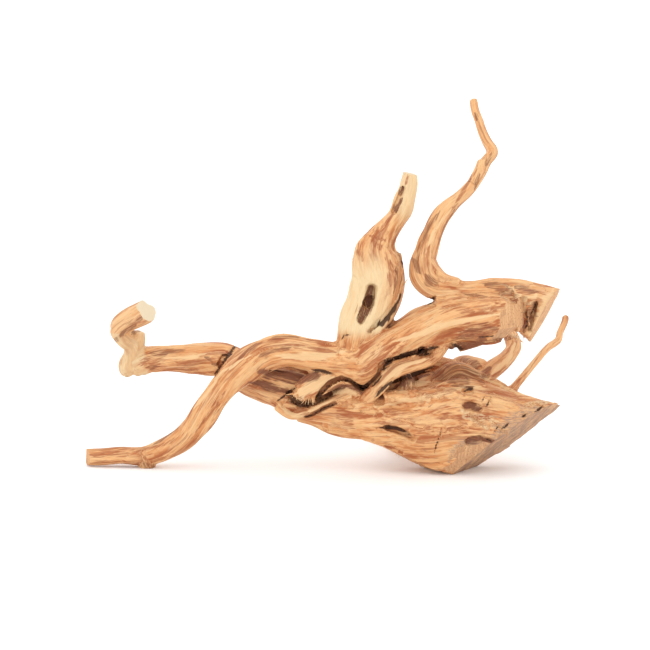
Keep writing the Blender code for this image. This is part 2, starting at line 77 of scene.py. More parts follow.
# Stations along each root, in millimetres: x, y, z, width seen from the front, thickness from front to back
ROOTS = {
    "upper_log": [
        (0, -29, 70, 20, 20), (14, -26, 69, 28, 26), (27, -26, 75, 28, 26), (41, -27, 82, 24, 24),
        (59, -29, 90, 26, 24), (77, -33, 95, 26, 24), (95, -36, 96, 25, 23), (108, -40, 97.5, 19, 17),
        (117, -42.5, 98, 18, 16),
    ],
    "crown_plate": [
        (108, -24, 107, 17, 18), (122, -22, 105, 20, 20), (131, -20, 100, 20, 20),
        (126, -20, 92, 19, 20), (118, -22, 84, 13, 14),
    ],
    "crown_web": [
        (62, -28, 106, 8, 12), (80, -28, 106, 10, 14), (100, -28, 106, 11, 14), (116, -27, 104, 11, 14),
    ],
    "standing_root": [
        (140, -19, 107, 13, 13), (124, -20, 109, 13, 13), (112, -21, 111, 14, 14),
        (99, -22, 112, 14, 14), (84, -24, 112, 13, 13), (70, -25, 114, 13, 13), (60, -26, 116, 14, 14),
        (54.6, -26, 121.5, 15, 14), (53.5, -25, 130, 14.5, 14), (55.3, -23, 137, 13, 13),
        (57.3, -21, 143, 12.5, 12), (60.2, -18, 149, 11, 11), (64.2, -15, 156, 10.5, 10),
        (69.3, -11, 162, 9.8, 9.5), (76, -7, 167, 8, 8), (83.5, -2, 173, 7.5, 7.5), (88.5, 2, 179, 7, 7),
        (92, 5, 185, 7, 7), (95, 7, 191, 6.6, 6.6), (99, 9, 196, 6.4, 6.4), (95.5, 12, 203, 5.4, 5.4),
        (93, 15, 209, 5, 5), (91, 18, 216, 4.8, 4.8), (89, 21, 222, 4.5, 4.5), (88, 24, 229, 4.2, 4.2),
    ],
    "crown_fillet": [
        (56, -25, 131, 9, 10), (60, -25, 124, 10, 10), (66, -25, 119, 9, 10), (76, -25, 116, 8, 9),
    ],
    "knee_shoulder": [
        (87, 0, 178, 6.5, 6.5), (90.5, 3, 185, 6, 6), (92.5, 5, 191.5, 5, 5),
    ],
    "swollen_shoot": [
        (12, -26, 78, 22, 20), (15, -26, 88, 27, 21), (17.5, -25, 95, 30, 22),
        (20.5, -25, 101, 31.5, 22), (24, -24, 110, 33.5, 23), (27, -23, 119, 33.5, 23),
        (27, -22, 130, 30.5, 21), (27, -21, 138, 25, 19), (29.3, -20, 144, 18, 16),
        (34, -18, 151, 13.5, 13), (38.5, -16, 157, 12.5, 12), (41.5, -15, 162, 13, 12),
        (43, -14, 168, 12.5, 11), (45, -13, 174, 11, 10), (46, -12, 180, 10, 9),
        (46.3, -11, 187, 6.4, 6),
    ],
    "front_arm": [
        (14, -26, 69, 28, 26), (0, -29, 70, 20, 20), (-15, -31, 73, 18, 18),
        (-29, -31.5, 75.5, 18.5, 18.5), (-41, -32, 74.5, 19, 19), (-53, -31, 67, 18, 18),
        (-64, -30, 58, 16.5, 16.5), (-73, -28, 47, 15.5, 15.5), (-83, -25, 33, 15, 15),
        (-92.5, -22, 21, 13.5, 13.5), (-106, -18, 11, 12, 12), (-115, -17, 7.5, 11, 11),
        (-122.5, -16, 6.5, 10.7, 10.7), (-135, -15, 6.7, 9.5, 9.5), (-148, -15, 6, 8.8, 8.8),
        (-160, -14, 5.5, 8, 8),
    ],
    "arm_ridge": [
        (-74, -24, 53, 6, 6), (-66, -22, 62, 8, 8), (-56, -21, 72, 9, 9), (-45, -22, 77, 9, 9),
        (-21, -25, 79, 8, 8), (2, -26, 75, 9, 9),
    ],
    "arm_knuckle": [
        (-119, -17, 6, 9, 10), (-118, -17, 2, 9, 10), (-117, -17, -2, 7, 8),
    ],
    "hook": [
        (-110, -24, 105, 12.5, 12.5), (-117, -19, 99, 12.5, 12.5), (-124, -14, 95, 12.5, 12.5),
        (-132, -10, 90, 12.5, 12.5), (-135, -5, 86, 11.5, 11.5), (-132, 0, 80, 11, 11),
        (-128, 3, 76, 11.5, 11.5), (-127, 4, 71, 12, 12), (-128, 4, 65, 13.5, 13.5),
        (-129.5, 4, 59, 14.5, 14), (-128, 4, 56, 10, 10),
    ],
    "hook_spur": [
        (-126.5, 3, 73, 9, 9), (-125, 1, 79, 8, 8), (-124, 0, 83.5, 6, 6),
    ],
    "back_arm": [
        (-128, 4, 62, 14, 14), (-117, 4, 65, 14.5, 15.5), (-108, 3, 66, 15, 16), (-95, 0, 66.5, 16, 17),
        (-82, -3, 67, 18.5, 18), (-69, -6, 66.5, 22, 20), (-58, -10, 60, 23, 21), (-44, -14, 54, 22, 20),
        (-28, -18, 48, 22, 20), (-10, -22, 42, 22, 22),
    ],
    "inner_strand": [
        (-66, -8, 62, 14, 14), (-45, -6, 61, 16, 14), (-20, -9, 60, 17, 14), (5, -12, 57, 18, 16),
        (28, -9, 52, 24, 16), (45, -6, 55, 28, 16), (60, -4, 60, 20, 14), (74, -5, 58, 14, 14),
    ],
    "stump": [
        (-22, -21, 40, 20, 20), (-3, -23, 37, 24, 22), (19, -24, 33, 28, 26), (41, -26, 30.5, 38, 31),
        (59, -28, 28.5, 54, 36), (75, -29, 28, 61, 39), (90, -29, 24, 62, 41), (105, -28, 18, 64, 41),
        (120, -28, 13, 65, 41), (140, -27, 8, 65, 41),
    ],
    "stump_strand_top": [
        (31, -31, 46, 8, 8), (44, -33, 47, 8, 8), (60, -38, 49, 9, 8), (72, -40, 50, 9, 8),
        (88, -40, 48, 10, 8), (104, -38, 43, 10, 8), (122, -37, 36, 10, 8),
    ],
    "stump_strand_middle": [
        (8, -30, 42, 8, 8), (31, -35, 38, 9, 8), (52, -41, 32, 10, 8), (71, -45, 29, 11, 8),
        (90, -45, 31, 10, 8),
    ],
    "stump_strand_low": [
        (-3, -28, 30, 8, 8), (22, -32, 25, 9, 8), (46, -35, 15, 10, 9), (63, -37, 8, 10, 9),
        (74, -38, 5, 9, 9),
    ],
    "stump_strand_rear": [
        (8, -14, 37, 9, 9), (35, -13, 31, 10, 10), (60, -12, 25, 12, 11), (85, -11, 19, 13, 12),
        (112, -10, 10, 13, 12),
    ],
    "stump_strand_under": [
        (20, -16, 24, 9, 9), (42, -18, 14, 10, 10), (62, -20, 5, 11, 11), (78, -20, 1, 10, 10),
    ],
    "stump_ridge": [
        (56, -18, 48, 16, 16), (66, -14, 52, 19, 19), (76, -11, 57, 19, 19), (85, -10, 53, 17, 18),
        (98, -11, 47, 15, 17), (111, -14, 41.5, 13, 16), (126, -16, 37, 11.5, 14),
        (141, -18, 34, 11, 14),
    ],
    "cross_root": [
        (15, -30, 39, 7.5, 7.5), (18, -31, 44, 7.5, 7.5), (25, -33, 51.5, 8, 8), (31.5, -34, 59, 9, 8),
        (38, -34, 65, 10, 8), (46, -33, 67.5, 9.5, 8), (55, -32, 69.5, 8, 8), (61, -31, 73, 8.5, 8),
        (65, -30, 79, 10, 9), (67, -30, 86, 12, 10),
    ],
    "log_nub": [
        (72, -26, 90, 14, 13), (74, -24, 82, 11, 11), (75, -23, 78, 8, 9),
    ],
    "log_nub_tail": [
        (76, -23, 78.5, 8, 9), (85, -26, 82.5, 9, 9), (96, -30, 88, 9, 9),
    ],
    "torn_stub": [
        (9, -30, 67, 16, 9), (-1, -31, 60, 15, 8), (-10, -33, 56, 15, 7), (-17, -34, 52.5, 14, 6.5),
        (-22, -34.5, 50, 11, 5.5),
    ],
    "torn_tooth_left": [
        (-20, -34, 51, 6, 5), (-24, -35, 48, 4.5, 3.5), (-27.5, -35.5, 46, 2.5, 2.5),
    ],
    "torn_tooth_middle": [
        (-16, -34, 51, 6, 5), (-20, -35, 46.5, 4.5, 3.5), (-22.5, -35.5, 43, 2.5, 2.5),
    ],
    "torn_tooth_right": [
        (-11, -33.5, 53, 6, 5), (-13, -34.5, 48, 4.5, 3.5), (-13.5, -35, 43.5, 2.5, 2.5),
    ],
    "knob": [
        (2, -25, 47, 8, 9), (8, -26, 50.5, 8, 9), (14, -26, 50, 8, 9), (19, -27, 46, 8, 9),
    ],
    "torn_rim": [
        (10, -30, 48, 5.5, 5.5), (2, -32, 45, 5, 5), (-8, -33, 42, 5, 5), (-18, -32, 37.5, 5.5, 5.5),
        (-27, -29, 35.5, 5.5, 5.5), (-36, -26, 41, 6, 6),
    ],
    "lump": [
        (42, -24, 45, 9, 9), (45, -24, 53, 9, 9), (44, -23, 61, 7.5, 8),
    ],
    "lump_side": [
        (44, -22, 46, 9, 9), (53, -22, 51, 8, 9), (64, -20, 50, 8, 9),
    ],
    "rear_stub": [
        (80, -8, 53, 13, 13), (80.5, -2, 60, 12.5, 12), (86, 6, 61.5, 11.5, 11), (94, 14, 58.5, 10, 10),
    ],
    "rear_root": [
        (77, -8, 48, 13, 13), (84, -2, 50, 11.5, 11.5), (93, 6, 53, 10.5, 10.5), (101.5, 14, 57, 10, 10),
        (109, 22, 61, 9.5, 9.5), (114, 30, 64.5, 9, 9), (117.3, 36, 68.5, 8.4, 8.4), (117, 42, 73, 8, 8),
        (115, 48, 77.5, 7.2, 7.2), (113, 53, 83, 5.5, 5.5),
    ],
    "rear_twig": [
        (102, -10, 39, 6, 6), (107.5, -9.5, 43.5, 4.6, 4.6), (111.7, -9, 48, 3.8, 3.8),
        (116.1, -4, 51.7, 3.5, 3.5), (122.8, 6, 56.8, 3.4, 3.4), (130.5, 18, 62.6, 3.4, 3.4),
        (136.8, 28, 67.3, 3.5, 3.5), (140.4, 34, 69.3, 3.7, 3.7), (144.6, 39, 70.9, 3.8, 3.8),
        (147.2, 42, 72.6, 3.9, 3.9), (148.5, 45, 76.3, 3.6, 3.6), (150.5, 48, 79.5, 3.4, 3.4),
        (152.5, 51, 82.7, 3.3, 3.3), (153.8, 54, 86.2, 3.2, 3.2),
    ],
    "rear_leg": [
        (60, -14, 34, 24, 22), (54, 5, 25, 19, 18), (51, 18, 17, 15.5, 15), (45, 32, 9, 13, 12.5),
        (44, 46, 3.5, 11, 10.5), (50, 58, 3, 9, 9), (58, 66, 7, 6.5, 6.5), (62, 71, 13, 4.5, 4.5),
    ],
    "rear_leg_fork": [
        (45, 36, 7, 8, 8), (38, 50, 5, 7, 7), (31, 60, 7, 5.5, 5.5), (27, 66, 12, 4, 4),
    ],
}

# Saw cuts, in millimetres: a point on the cut, the way its face looks, half its side, how deep the waste is
SAW_CUTS = {
    "trunk": ((108, -27, 20.5), (0.555, -0.396, -0.732), 75, 60),
    "crown": ((130, -20, 97), (0.83, -0.334, -0.437), 27, 40),
    "log_end": ((107.5, -40.5, 98), (0.7, -0.7, 0.1), 12, 18),
    "hook_end": ((-116, -20, 99), (0.59, -0.566, 0.574), 12, 12),
    "arm_end": ((-157, -14, 5), (-1, 0, 0.05), 12, 12),
    "shoot_end": ((47, -12, 184), (0.2, -0.08, 0.97), 9, 9),
}

# Hollows, in millimetres: the points of the hollow's floor line, its half width and its depth from the front
HOLLOWS = {
    "shoot_cavity_wide": (((22.5, -34, 115), (21, -34, 107)), 3.8, 7.0),
    "shoot_cavity_tail": (((21, -34, 107), (16, -34, 97)), 2.4, 4.0),
    "shoot_slot": (((42, -22, 175), (39.5, -22, 168), (36.5, -22, 161)), 1.8, 3.5),
    "shoot_seam": (
        ((41, -30, 130), (40, -30, 120), (37, -31, 110), (31, -32, 100), (21, -34, 89)), 1.6, 2.5,
    ),
    "stump_eye": (((79, -40, 52.5), (83, -40, 53)), 2.0, 3.0),
    "stump_pit_upper": (((80.5, -42, 44), (87, -42, 42.5)), 3.4, 3.0),
    "stump_pit_lower": (((83, -44, 23), (90, -44, 24), (97, -44, 22)), 3.4, 4.0),
    "stump_groove": (((33, -38, 30), (38, -38, 28.5), (44, -38, 26), (48, -38, 23.5)), 2.6, 4.0),
    "torn_arch": (
        ((-11, -38, 47), (-8, -38, 52), (-3, -38, 57), (4, -38, 60), (9, -38, 58.5), (17, -38, 52)),
        1.7, 5.0,
    ),
    "log_crease": (
        ((17, -36, 52), (23, -36, 57.5), (27, -36, 62.5), (28.5, -36, 69), (34, -36, 72), (53, -35, 77)),
        1.6, 5.0,
    ),
    "rim_gap": (((-28, -38, 48.5), (-21.5, -38, 43.5), (-11.5, -38, 45), (-3, -38, 48.5)), 2.2, 5.0),
    "rim_crease": (((0, -36, 44), (-9, -36, 39.5), (-17.5, -36, 35.5)), 1.5, 2.5),
    "crown_eye": (((54.5, -34, 75), (58.5, -34, 75)), 2.2, 5.0),
    "plate_groove": (((123.5, -32, 106), (122, -32, 98), (120, -32, 89)), 1.5, 4.0),
    "fissure": (((-66.5, -28, 76), (-70, -28, 69), (-75, -28, 60)), 1.8, 3.0),
}
# How far before and behind its floor line a hollow is pressed
HOLLOW_REACH = 12.0

# Cells of the relief's noise, in millimetres: how long they are along the grain and how wide across it
STRAND_CELLS = (34, 5.0, 5.0)
SMALL_STRAND_CELLS = (22, 2.6, 2.6)
FIBRE_CELLS = (11, 1.3, 1.3)
CRACK_CELLS = (26, 4.2, 4.2)
CRACK_STRETCH_CELLS = (17, 9, 9)
RAGGED_CELLS = (8, 1.7, 1.7)
FINE_RAGGED_CELLS = (3, 1.0, 1.0)
WANDER_CELLS = (14, 3, 3)
HOOK_FACE_CELLS = (12, 2.5, 2.5)
# Noise that doesn't follow the grain: the side of its cells in millimetres
LUMP_CELL = 7.0
CRUMBLE_CELL = 1.6
RIM_CELL = 5.5
SMALL_RIM_CELL = 2.2
TORN_CELL = 1.4
WOBBLE_CELL = 3.5

# How high the trunk's torn rim and the torn wood stand, and how wide the rim's belt is, in millimetres
RIM_LIFT = 1.3
SMALL_RIM_LIFT = 0.7
TORN_LIFT = 0.55
RIM_BELT = 8.0
# How much of the strands' height the lumps have, how wide a crack is as a share of its cell, and the half
# width of a root whose relief is full
LUMP_SHARE = 0.35
CRACK_SHARE = 0.13
FULL_RELIEF_GIRTH = 9

# Marks: how a stroke narrows to its ends, how far it reaches past its edge, how its edge wobbles
STROKE_TIP = 0.25
LINE_TAPER = 0.6
PIT_TAPER = 0.25
STROKE_REACH = 2.2
STROKE_WOBBLE = 0.4
# A crease's painted shade is a little narrower than its pressed groove
CREASE_PAINT = 0.62

# The grain, in millimetres: how far apart the roots' grain is laid, how far past a root its grain reaches,
# and the share by which the border between two roots wanders
ROOT_STRIDE = 400.0
ROOT_REACH = 6
ROOT_WOBBLE = 0.12
# How far a fully worn ridge stands out of its neighbours, in millimetres
WORN_BEND = 0.06
# Shade in hollows: how many ways are looked, how far and from how far off the skin in millimetres, and the
# least cosine to the skin's normal
SHADE_RAYS = 32
SHADE_REACH = 14.0
SHADE_LIFT = 0.3
SHADE_LEAST_COSINE = 0.15
# A mark that just misses the wood, in millimetres: how far off it is taken, and where it is looked for
BESIDE_REACH = 6.0
SIGHT_DEPTHS = range(-60, 61, 4)
# The cuts, in millimetres: the gap left to the solid's box, the level cut at the floor, a cut face's tolerance
BOX_MARGIN = 0.02
FLOOR_CUT = ((0, 0, 0), (0, 0, -1), 200, 30)
CUT_SKIN = 0.05
# How many points are worked on at a time
BATCH = 8000

# Torn fibres: how their feet scatter and how deep they are rooted in millimetres, how their aim spreads and
# leans off the skin, how long and thick they are as shares of the tuft's, and how flat they are
FIBRE_SEED = 7
FOOT_SCATTER = 0.5
FOOT_DEPTH = 0.4
AIM_SPREAD = 0.28
SKIN_LEAN = 0.35
FIBRE_LENGTHS = (0.45, 1.15)
FIBRE_GIRTHS = (0.5, 1.1)
FIBRE_FLATNESS = 0.6

# The camera's sensor in millimetres
SENSOR = 36.0
# The studio in metres: the table's side, and each softbox's place and side
TABLE_SIDE = 6.0
TOP_SOFTBOX = ((0, -0.25, 1.1), 1.2)
LEFT_SOFTBOX = ((-0.9, -0.9, 0.6), 0.8)

# Where the shoot and the hook are freshly debarked, in the stations' millimetres, and how far each edge fades
BARE_TOP, BARE_TOP_FADE = 138, 14
BARE_FOOT, BARE_FOOT_FADE = 84, 6
BARE_RIGHT, BARE_RIGHT_FADE = 25, 10
BARE_WANDER = 6
TIP_FOOT, TIP_LEFT, TIP_FADE = 152, 40, 8
NECK_RIGHT, NECK_HEIGHT, NECK_REACH = -119.5, 65, 20
HOOK_KNEE = 84

# Facets too small for the solid, given as the saw cuts are
FINE_CUTS = {
    "log_facet": ((105, -43, 91.5), (0.5, -0.5, -0.7), 9, 8),
    "trunk_facet": ((84, -44.3, 14), (0.172, -0.869, -0.463), 22, 12),
    "trunk_tip": ((138, -25, 42), (1, -0.15, 0.25), 12, 10),
    "arm_facet": ((-156.1, -14, 5.5), (-0.9, -0.45, 0.05), 8, 6),
}

# How greyed the sawn faces are, from 0 for a fresh cut
AGED = {"trunk": 1.0, "trunk_facet": 0.3, "trunk_tip": 0.7, "log_facet": 0.35}

# The photograph's frame in pixels, in which the marks below are placed on the front of the wood
PHOTO_SIDE = 650

# Creases and hollows, with painted shade inside them and under the parts that overhang them, and a few real
# cracks, scratches and notches: half width and pressed depth in millimetres, then their line in pixels
CREASE_SHADE_AND_CRACKS = {
    "under_log": (3.2, 2.0, ((387, 361), (399, 357), (411, 353.5), (424, 350), (438, 347))),
    "under_log_neck": (1.3, 0.8, ((371, 387), (378, 381), (382, 375))),
    "under_log_corner": (3.2, 1.2, ((383, 370), (386, 364), (391, 360))),
    "arch_end": (1.3, 0.8, ((357, 383), (363, 386.5), (370, 388.5))),
    "stub_arch": (1.3, 1.5, ((317, 399), (327, 387), (340, 379.8), (351.3, 380.7), (364, 388))),
    "under_stub": (1.2, 1.2, ((288, 400), (298, 405.5), (308, 406), (317, 403), (325, 398.5), (335, 396))),
    "under_rim": (0.9, 0.9, ((297, 419.5), (312.5, 414.7), (324.7, 407.4), (340, 402))),
    "under_cross_root": (
        2.5, 1.6, ((375, 399), (380, 391), (389, 384), (401, 378.5), (413, 374), (425, 370), (434, 367)),
    ),
    "slot_behind_cross_root": (1.8, 0.8, ((412, 376), (421, 373), (432, 371))),
    "stump_groove": (1.5, 1.4, ((376, 428.5), (386, 427), (396, 428), (404.6, 431.6), (412, 437))),
    "root_pocket": (1.5, 1.6, ((427, 304), (435.5, 297))),
    "log_slot": (2.2, 1.2, ((452, 343), (457, 347), (464, 350))),
    "log_shadow": (0.8, 0.6, ((476, 337), (495, 336), (514, 337))),
    "crown_groove": (1.1, 1.0, ((537, 301), (532, 312), (528, 321), (525, 331))),
    "face_crack": (0.5, 0.5, ((507, 306.5), (516, 305), (526, 308))),
    "recess_slot": (1.8, 1.3, ((311, 369.5), (320, 370.5), (334, 374))),
    "arm_underline": (0.9, 0.6, ((264, 369.5), (276, 371), (286, 372.5))),
    "stub_side": (1.0, 0.8, ((275.6, 402.4), (284, 396), (292, 390.4), (297, 387))),
    "stump_eye": (1.7, 1.2, ((463, 391.5), (467.7, 390), (474, 388.5))),
    "upper_eye": (1.6, 1.0, ((423, 354.5), (430, 353.5))),
    "shoot_foot": (1.0, 0.9, ((341, 341), (344, 335), (350, 335))),
    "shoot_flange": (1.5, 0.8, ((402, 291), (399, 300), (393, 310))),
    "shoot_wedge": (3.0, 1.2, ((397, 304), (391, 313), (384, 321), (374, 328))),
    "back_arm_fissure": (2.3, 1.1, ((236, 345), (228, 356), (221, 366), (215, 374))),
    "rind_crumble": (1.1, 0.8, ((531, 413), (536.5, 411.5), (544, 405))),
    "pit_end": (1.0, 0.8, ((485, 438), (493, 442.5))),
    "rim_notch_far": (1.2, 1.2, ((522, 417), (527, 414))),
    "rim_notch_near": (1.3, 1.4, ((504, 428), (509, 423))),
    "hatch_high_left": (0.7, 0.5, ((481, 403), (486, 394))),
    "hatch_high_right": (0.7, 0.5, ((486, 407), (491, 397))),
    "hatch_low_left": (0.7, 0.5, ((494, 432), (499, 425))),
    "hatch_low_right": (0.7, 0.5, ((500, 433), (504, 425))),
    "scratch_low": (0.6, 0.4, ((442, 425), (440, 435), (436, 446), (434, 455))),
}

# Brown rot in the swollen shoot's eye and the pits, and painted shade in the recess, under the arch, behind
# the fan and under the log's nub, which are not pressed: half width, depth, line
ROT_AND_SHADE = {
    "shoot_nick": (1.3, 0.7, ((403.3, 186.5), (401.5, 191), (399.5, 195))),
    "shoot_slot": (1.9, 1.3, ((402, 198), (399.5, 204), (396, 212))),
    "shoot_eye": (3.9, 1.8, ((371.5, 287), (370, 294), (368, 301), (365.3, 309), (362, 317), (359.5, 323))),
    "upper_pit": (2.3, 0.7, ((465, 408), (469, 405.5), (476, 403.5))),
    "upper_pit_side": (1.5, 0.3, ((472, 409), (478, 409.5), (482, 408))),
    "lower_pit": (2.7, 0.9, ((465, 441), (474, 438), (483, 437.5))),
    "lower_pit_end": (2.0, 0.8, ((480, 438), (488, 440), (496, 443.5))),
    "recess": (3.6, 0.0, ((258, 371), (275, 374), (292, 377), (305, 379), (318, 376))),
    "recess_low": (2.4, 0.0, ((248, 382), (262, 385), (276, 389.5), (292, 391))),
    "arch_lining": (2.2, 0.0, ((324, 396), (333, 389), (345, 385), (358, 389), (362, 394))),
    "fan_shadow": (2.8, 0.0, ((396, 386), (404, 382), (414, 378), (430, 374))),
    "log_nub": (3.4, 0.0, ((448, 350), (460, 346), (472, 344), (486, 340))),
}

# Left-over inner bark, mauve brown, and painted shade in the same brown under the log, by the hook and along
# the arm's top edge: half width and line
BARK_AND_SHADE = {
    "arm_shoulder": (1.9, ((236, 361), (246, 352), (256, 345), (268, 340))),
    "arm_crest": (1.2, ((262, 342), (275, 338), (288, 337), (302, 337.5))),
    "arm_patch": (2.0, ((259, 357), (268, 352), (279, 349))),
    "arm_fleck": (1.8, ((281, 349), (287, 347.5), (292, 346))),
    "crown_band": (3.4, ((482, 283), (493, 286), (504, 289), (514, 296))),
    "crown_low": (2.4, ((510, 299), (519, 301), (528, 305))),
    "crown_end": (2.6, ((515, 287), (526, 290), (538, 292))),
    "crown_line": (1.4, ((459, 291.5), (470.6, 295), (482, 297), (495, 298.5))),
    "ridge_cap": (3.4, ((462, 360), (470, 362), (481, 366))),
    "flank": (5.4, ((432, 372), (444, 375), (456, 380), (470, 387))),
    "flank_high": (4.2, ((444, 365), (456, 368), (468, 374), (484, 383))),
    "rear_root": (2.2, ((481, 379), (486, 374), (491, 367))),
    "standing_left": (1.7, ((418, 261), (419, 248), (425, 236), (431, 224), (440, 211))),
    "standing_right": (1.1, ((434, 258), (439, 240), (448, 220), (456, 207))),
    "standing_heel": (2.0, ((411, 256), (415, 263), (421, 274))),
    "standing_knee": (2.2, ((424, 273), (429, 281), (439, 287))),
    "shoot_edge": (1.5, ((395, 243), (399, 252), (402, 260), (402, 268))),
    "shoot_inner": (1.7, ((398, 262), (397, 273), (396, 284), (393, 297))),
    "log_belly": (3.0, ((452, 340), (470, 334), (490, 330), (508, 331))),
    "log_underside": (2.4, ((460, 349), (478, 346), (497, 340), (517, 337))),
    "hook_band": (2.4, ((112, 344), (121, 335), (131, 327), (143, 316))),
    "hook_shadow": (1.6, ((131, 334), (136, 331), (141, 331))),
    "knot_low": (2.2, ((145, 366), (151, 368), (159, 366))),
    "knot_high": (1.6, ((148, 353), (158, 354), (168, 356))),
    "kink": (1.4, ((492, 152), (489, 158), (485, 166))),
    "kink_right": (1.2, ((480, 172), (477, 182), (474, 191))),
    "kink_left": (1.0, ((472, 172), (470, 180), (466, 188))),
    "tip_band": (1.0, ((475, 112), (476, 117), (477, 122))),
    "crown_valley": (2.8, ((534, 302), (530, 313), (526, 324), (524, 333))),
    "back_arm_top": (1.5, ((150, 352), (168, 350.5), (190, 350))),
    "back_arm_end": (1.8, ((205, 357), (214, 363), (221, 362))),
    "knuckle": (1.9, ((140, 466), (147, 466), (155, 468))),
    "arm_low_line": (1.0, ((110, 468), (122, 468), (134, 467), (142, 461))),
    "arm_high_line": (1.5, ((150, 447), (160, 441), (170, 434), (181, 425))),
}

# Rust-brown stains along the grain: half width and line
RUST = {
    "stump_streak": (2.4, ((386, 412), (398, 411), (408, 412), (418, 411))),
    "log_top": (2.8, ((440, 309), (452, 306), (462, 308), (474, 312))),
    "log_middle": (2.6, ((432, 338), (452, 332), (470, 328), (488, 325), (502, 327))),
    "stump_fleck": (3.0, ((478, 408), (484, 413), (490, 421))),
    "burl_high": (1.6, ((438, 424), (446, 416), (456, 417), (468, 425))),
    "burl_low": (1.4, ((444, 433), (452, 427), (460, 428), (468, 433))),
    "window_lump": (2.6, ((425, 357), (431, 359), (439, 362))),
    "belly_speckle": (3.4, ((338, 410), (345, 417), (352, 425))),
    "rim_speckle": (2.2, ((289, 408), (298, 411), (309, 413))),
    "shoot_wrinkle_high": (1.3, ((368.5, 235), (374, 237), (386, 240.5))),
    "shoot_wrinkle_low": (1.4, ((371, 240), (375, 244), (383, 250))),
    "shoot_streak": (1.1, ((395, 211), (388, 220), (379, 231))),
    "shoot_side": (2.2, ((384, 256), (390, 263), (394, 272), (391, 286))),
    "shoot_shoulder": (2.2, ((356, 250), (360, 256), (363, 262))),
    "arm_spot": (1.6, ((293, 347), (299, 346), (305, 347))),
    "arm_spot_far": (1.5, ((317, 347.5), (322, 348.5), (329, 349))),
    "arm_top_line": (1.2, ((308, 340), (322, 343), (338, 347))),
    "shoot_top": (1.2, ((408.5, 173), (407, 180), (405, 186))),
    "knot": (5.6, ((142, 362), (150, 363), (162, 361))),
    "knuckle_side": (2.0, ((142, 456), (145, 461), (149, 466))),
    "arm_tip_high": (2.6, ((88, 455), (104, 454), (122, 454), (142, 455))),
    "arm_tip_low": (2.2, ((90, 463), (106, 463), (122, 464), (138, 464))),
    "log_facet": (2.4, ((497, 335), (507, 336), (517, 336))),
    "standing_high": (1.5, ((450, 213), (459, 199), (467, 185), (476, 171))),
    "twig_foot": (1.2, ((509, 390), (516, 384), (522, 377))),
    "back_arm_low": (2.4, ((160, 372), (176, 370), (192, 372), (212, 376))),
    "flank_low": (3.4, ((404, 388), (420, 391), (440, 391), (456, 390))),
    "front_arm_bend": (1.8, ((226, 390), (216, 405), (205, 420), (196, 432))),
    "front_arm_low": (1.6, ((178, 436), (166, 444), (150, 448), (134, 452))),
}

# Paler wood: fresh breaks, worn ridges and polished strands, and painted highlights where light falls on the
# arms, the log and the standing root: half width and line
PALE_AND_HIGHLIGHTS = {
    "crown_rib": (1.1, ((498.6, 281.5), (510, 288), (520, 295.5), (531, 308))),
    "crown_rib_low": (1.0, ((508, 297), (520, 297), (533, 297))),
    "plate_rib": (1.0, ((538, 291), (533, 300), (528, 309))),
    "stump_ridge": (1.1, ((453, 361), (466, 368), (490, 381), (518, 393.5), (541, 399))),
    "front_strand": (1.8, ((376, 407), (405.5, 401), (420, 399.5), (441, 393.5), (459, 387.5), (485, 386))),
    "cross_root": (2.3, ((378, 388), (390, 375), (401, 367), (412, 363), (422, 360.5), (434, 356))),
    "fan": (3.0, ((400, 391), (408, 384), (417, 383), (430, 382))),
    "arm_worn": (2.4, ((276, 356), (290, 356), (305, 358), (325, 356), (345, 351))),
    "arm_lit": (1.5, ((190, 412), (204, 397), (222, 372), (240, 361), (256, 352))),
    "rim": (1.5, ((276, 402), (287, 412.5), (298, 416), (308, 414), (322, 404.6), (337, 398))),
    "torn_stub": (4.2, ((334, 377), (318, 381), (308, 388), (297, 399))),
    "knob": (3.0, ((333, 394), (342, 390), (350, 391), (356, 396))),
    "rear_root": (2.6, ((492, 374), (503, 365), (511, 355), (515, 343))),
    "crown_strip": (3.6, ((555, 287), (547, 302), (539, 318), (530, 336))),
    "log_lit": (2.0, ((392, 342), (420, 334), (450, 323), (478, 317), (502, 314))),
    "back_arm_lit": (1.5, ((150, 362), (170, 358), (190, 357), (212, 352))),
    "standing_lit": (1.3, ((424, 262), (427, 248), (434, 232), (443, 218), (454, 206))),
}

# Torn wood, pale fibres over dark gaps: half width and line
TORN = {
    "tear_middle": (3.2, ((462, 410), (470, 416), (478, 419), (488, 430))),
    "tear_edge": (3.0, ((488, 418), (497, 424), (503, 431), (512, 437))),
    "front_edge": (1.6, ((448, 452), (456, 447), (466, 444))),
    "log_lip": (1.4, ((500, 295), (507, 300), (515, 305))),
    "log_foot": (2.0, ((507, 333), (515, 336), (524, 339))),
    "rind": (3.4, ((524, 412), (534, 407), (541, 403), (550, 400))),
    "stub_foot": (1.6, ((294, 396), (304, 400), (318, 399))),
}

# Greyed sawn wood that runs over the trunk's torn edge: half width and line
SAWN_SKIN = {
    "shoulder": (5.4, ((544, 408), (530, 413), (514, 422), (498, 436), (490, 446))),
    "front": (3.0, ((500, 440), (484, 443), (466, 444), (454, 450), (449, 462))),
}

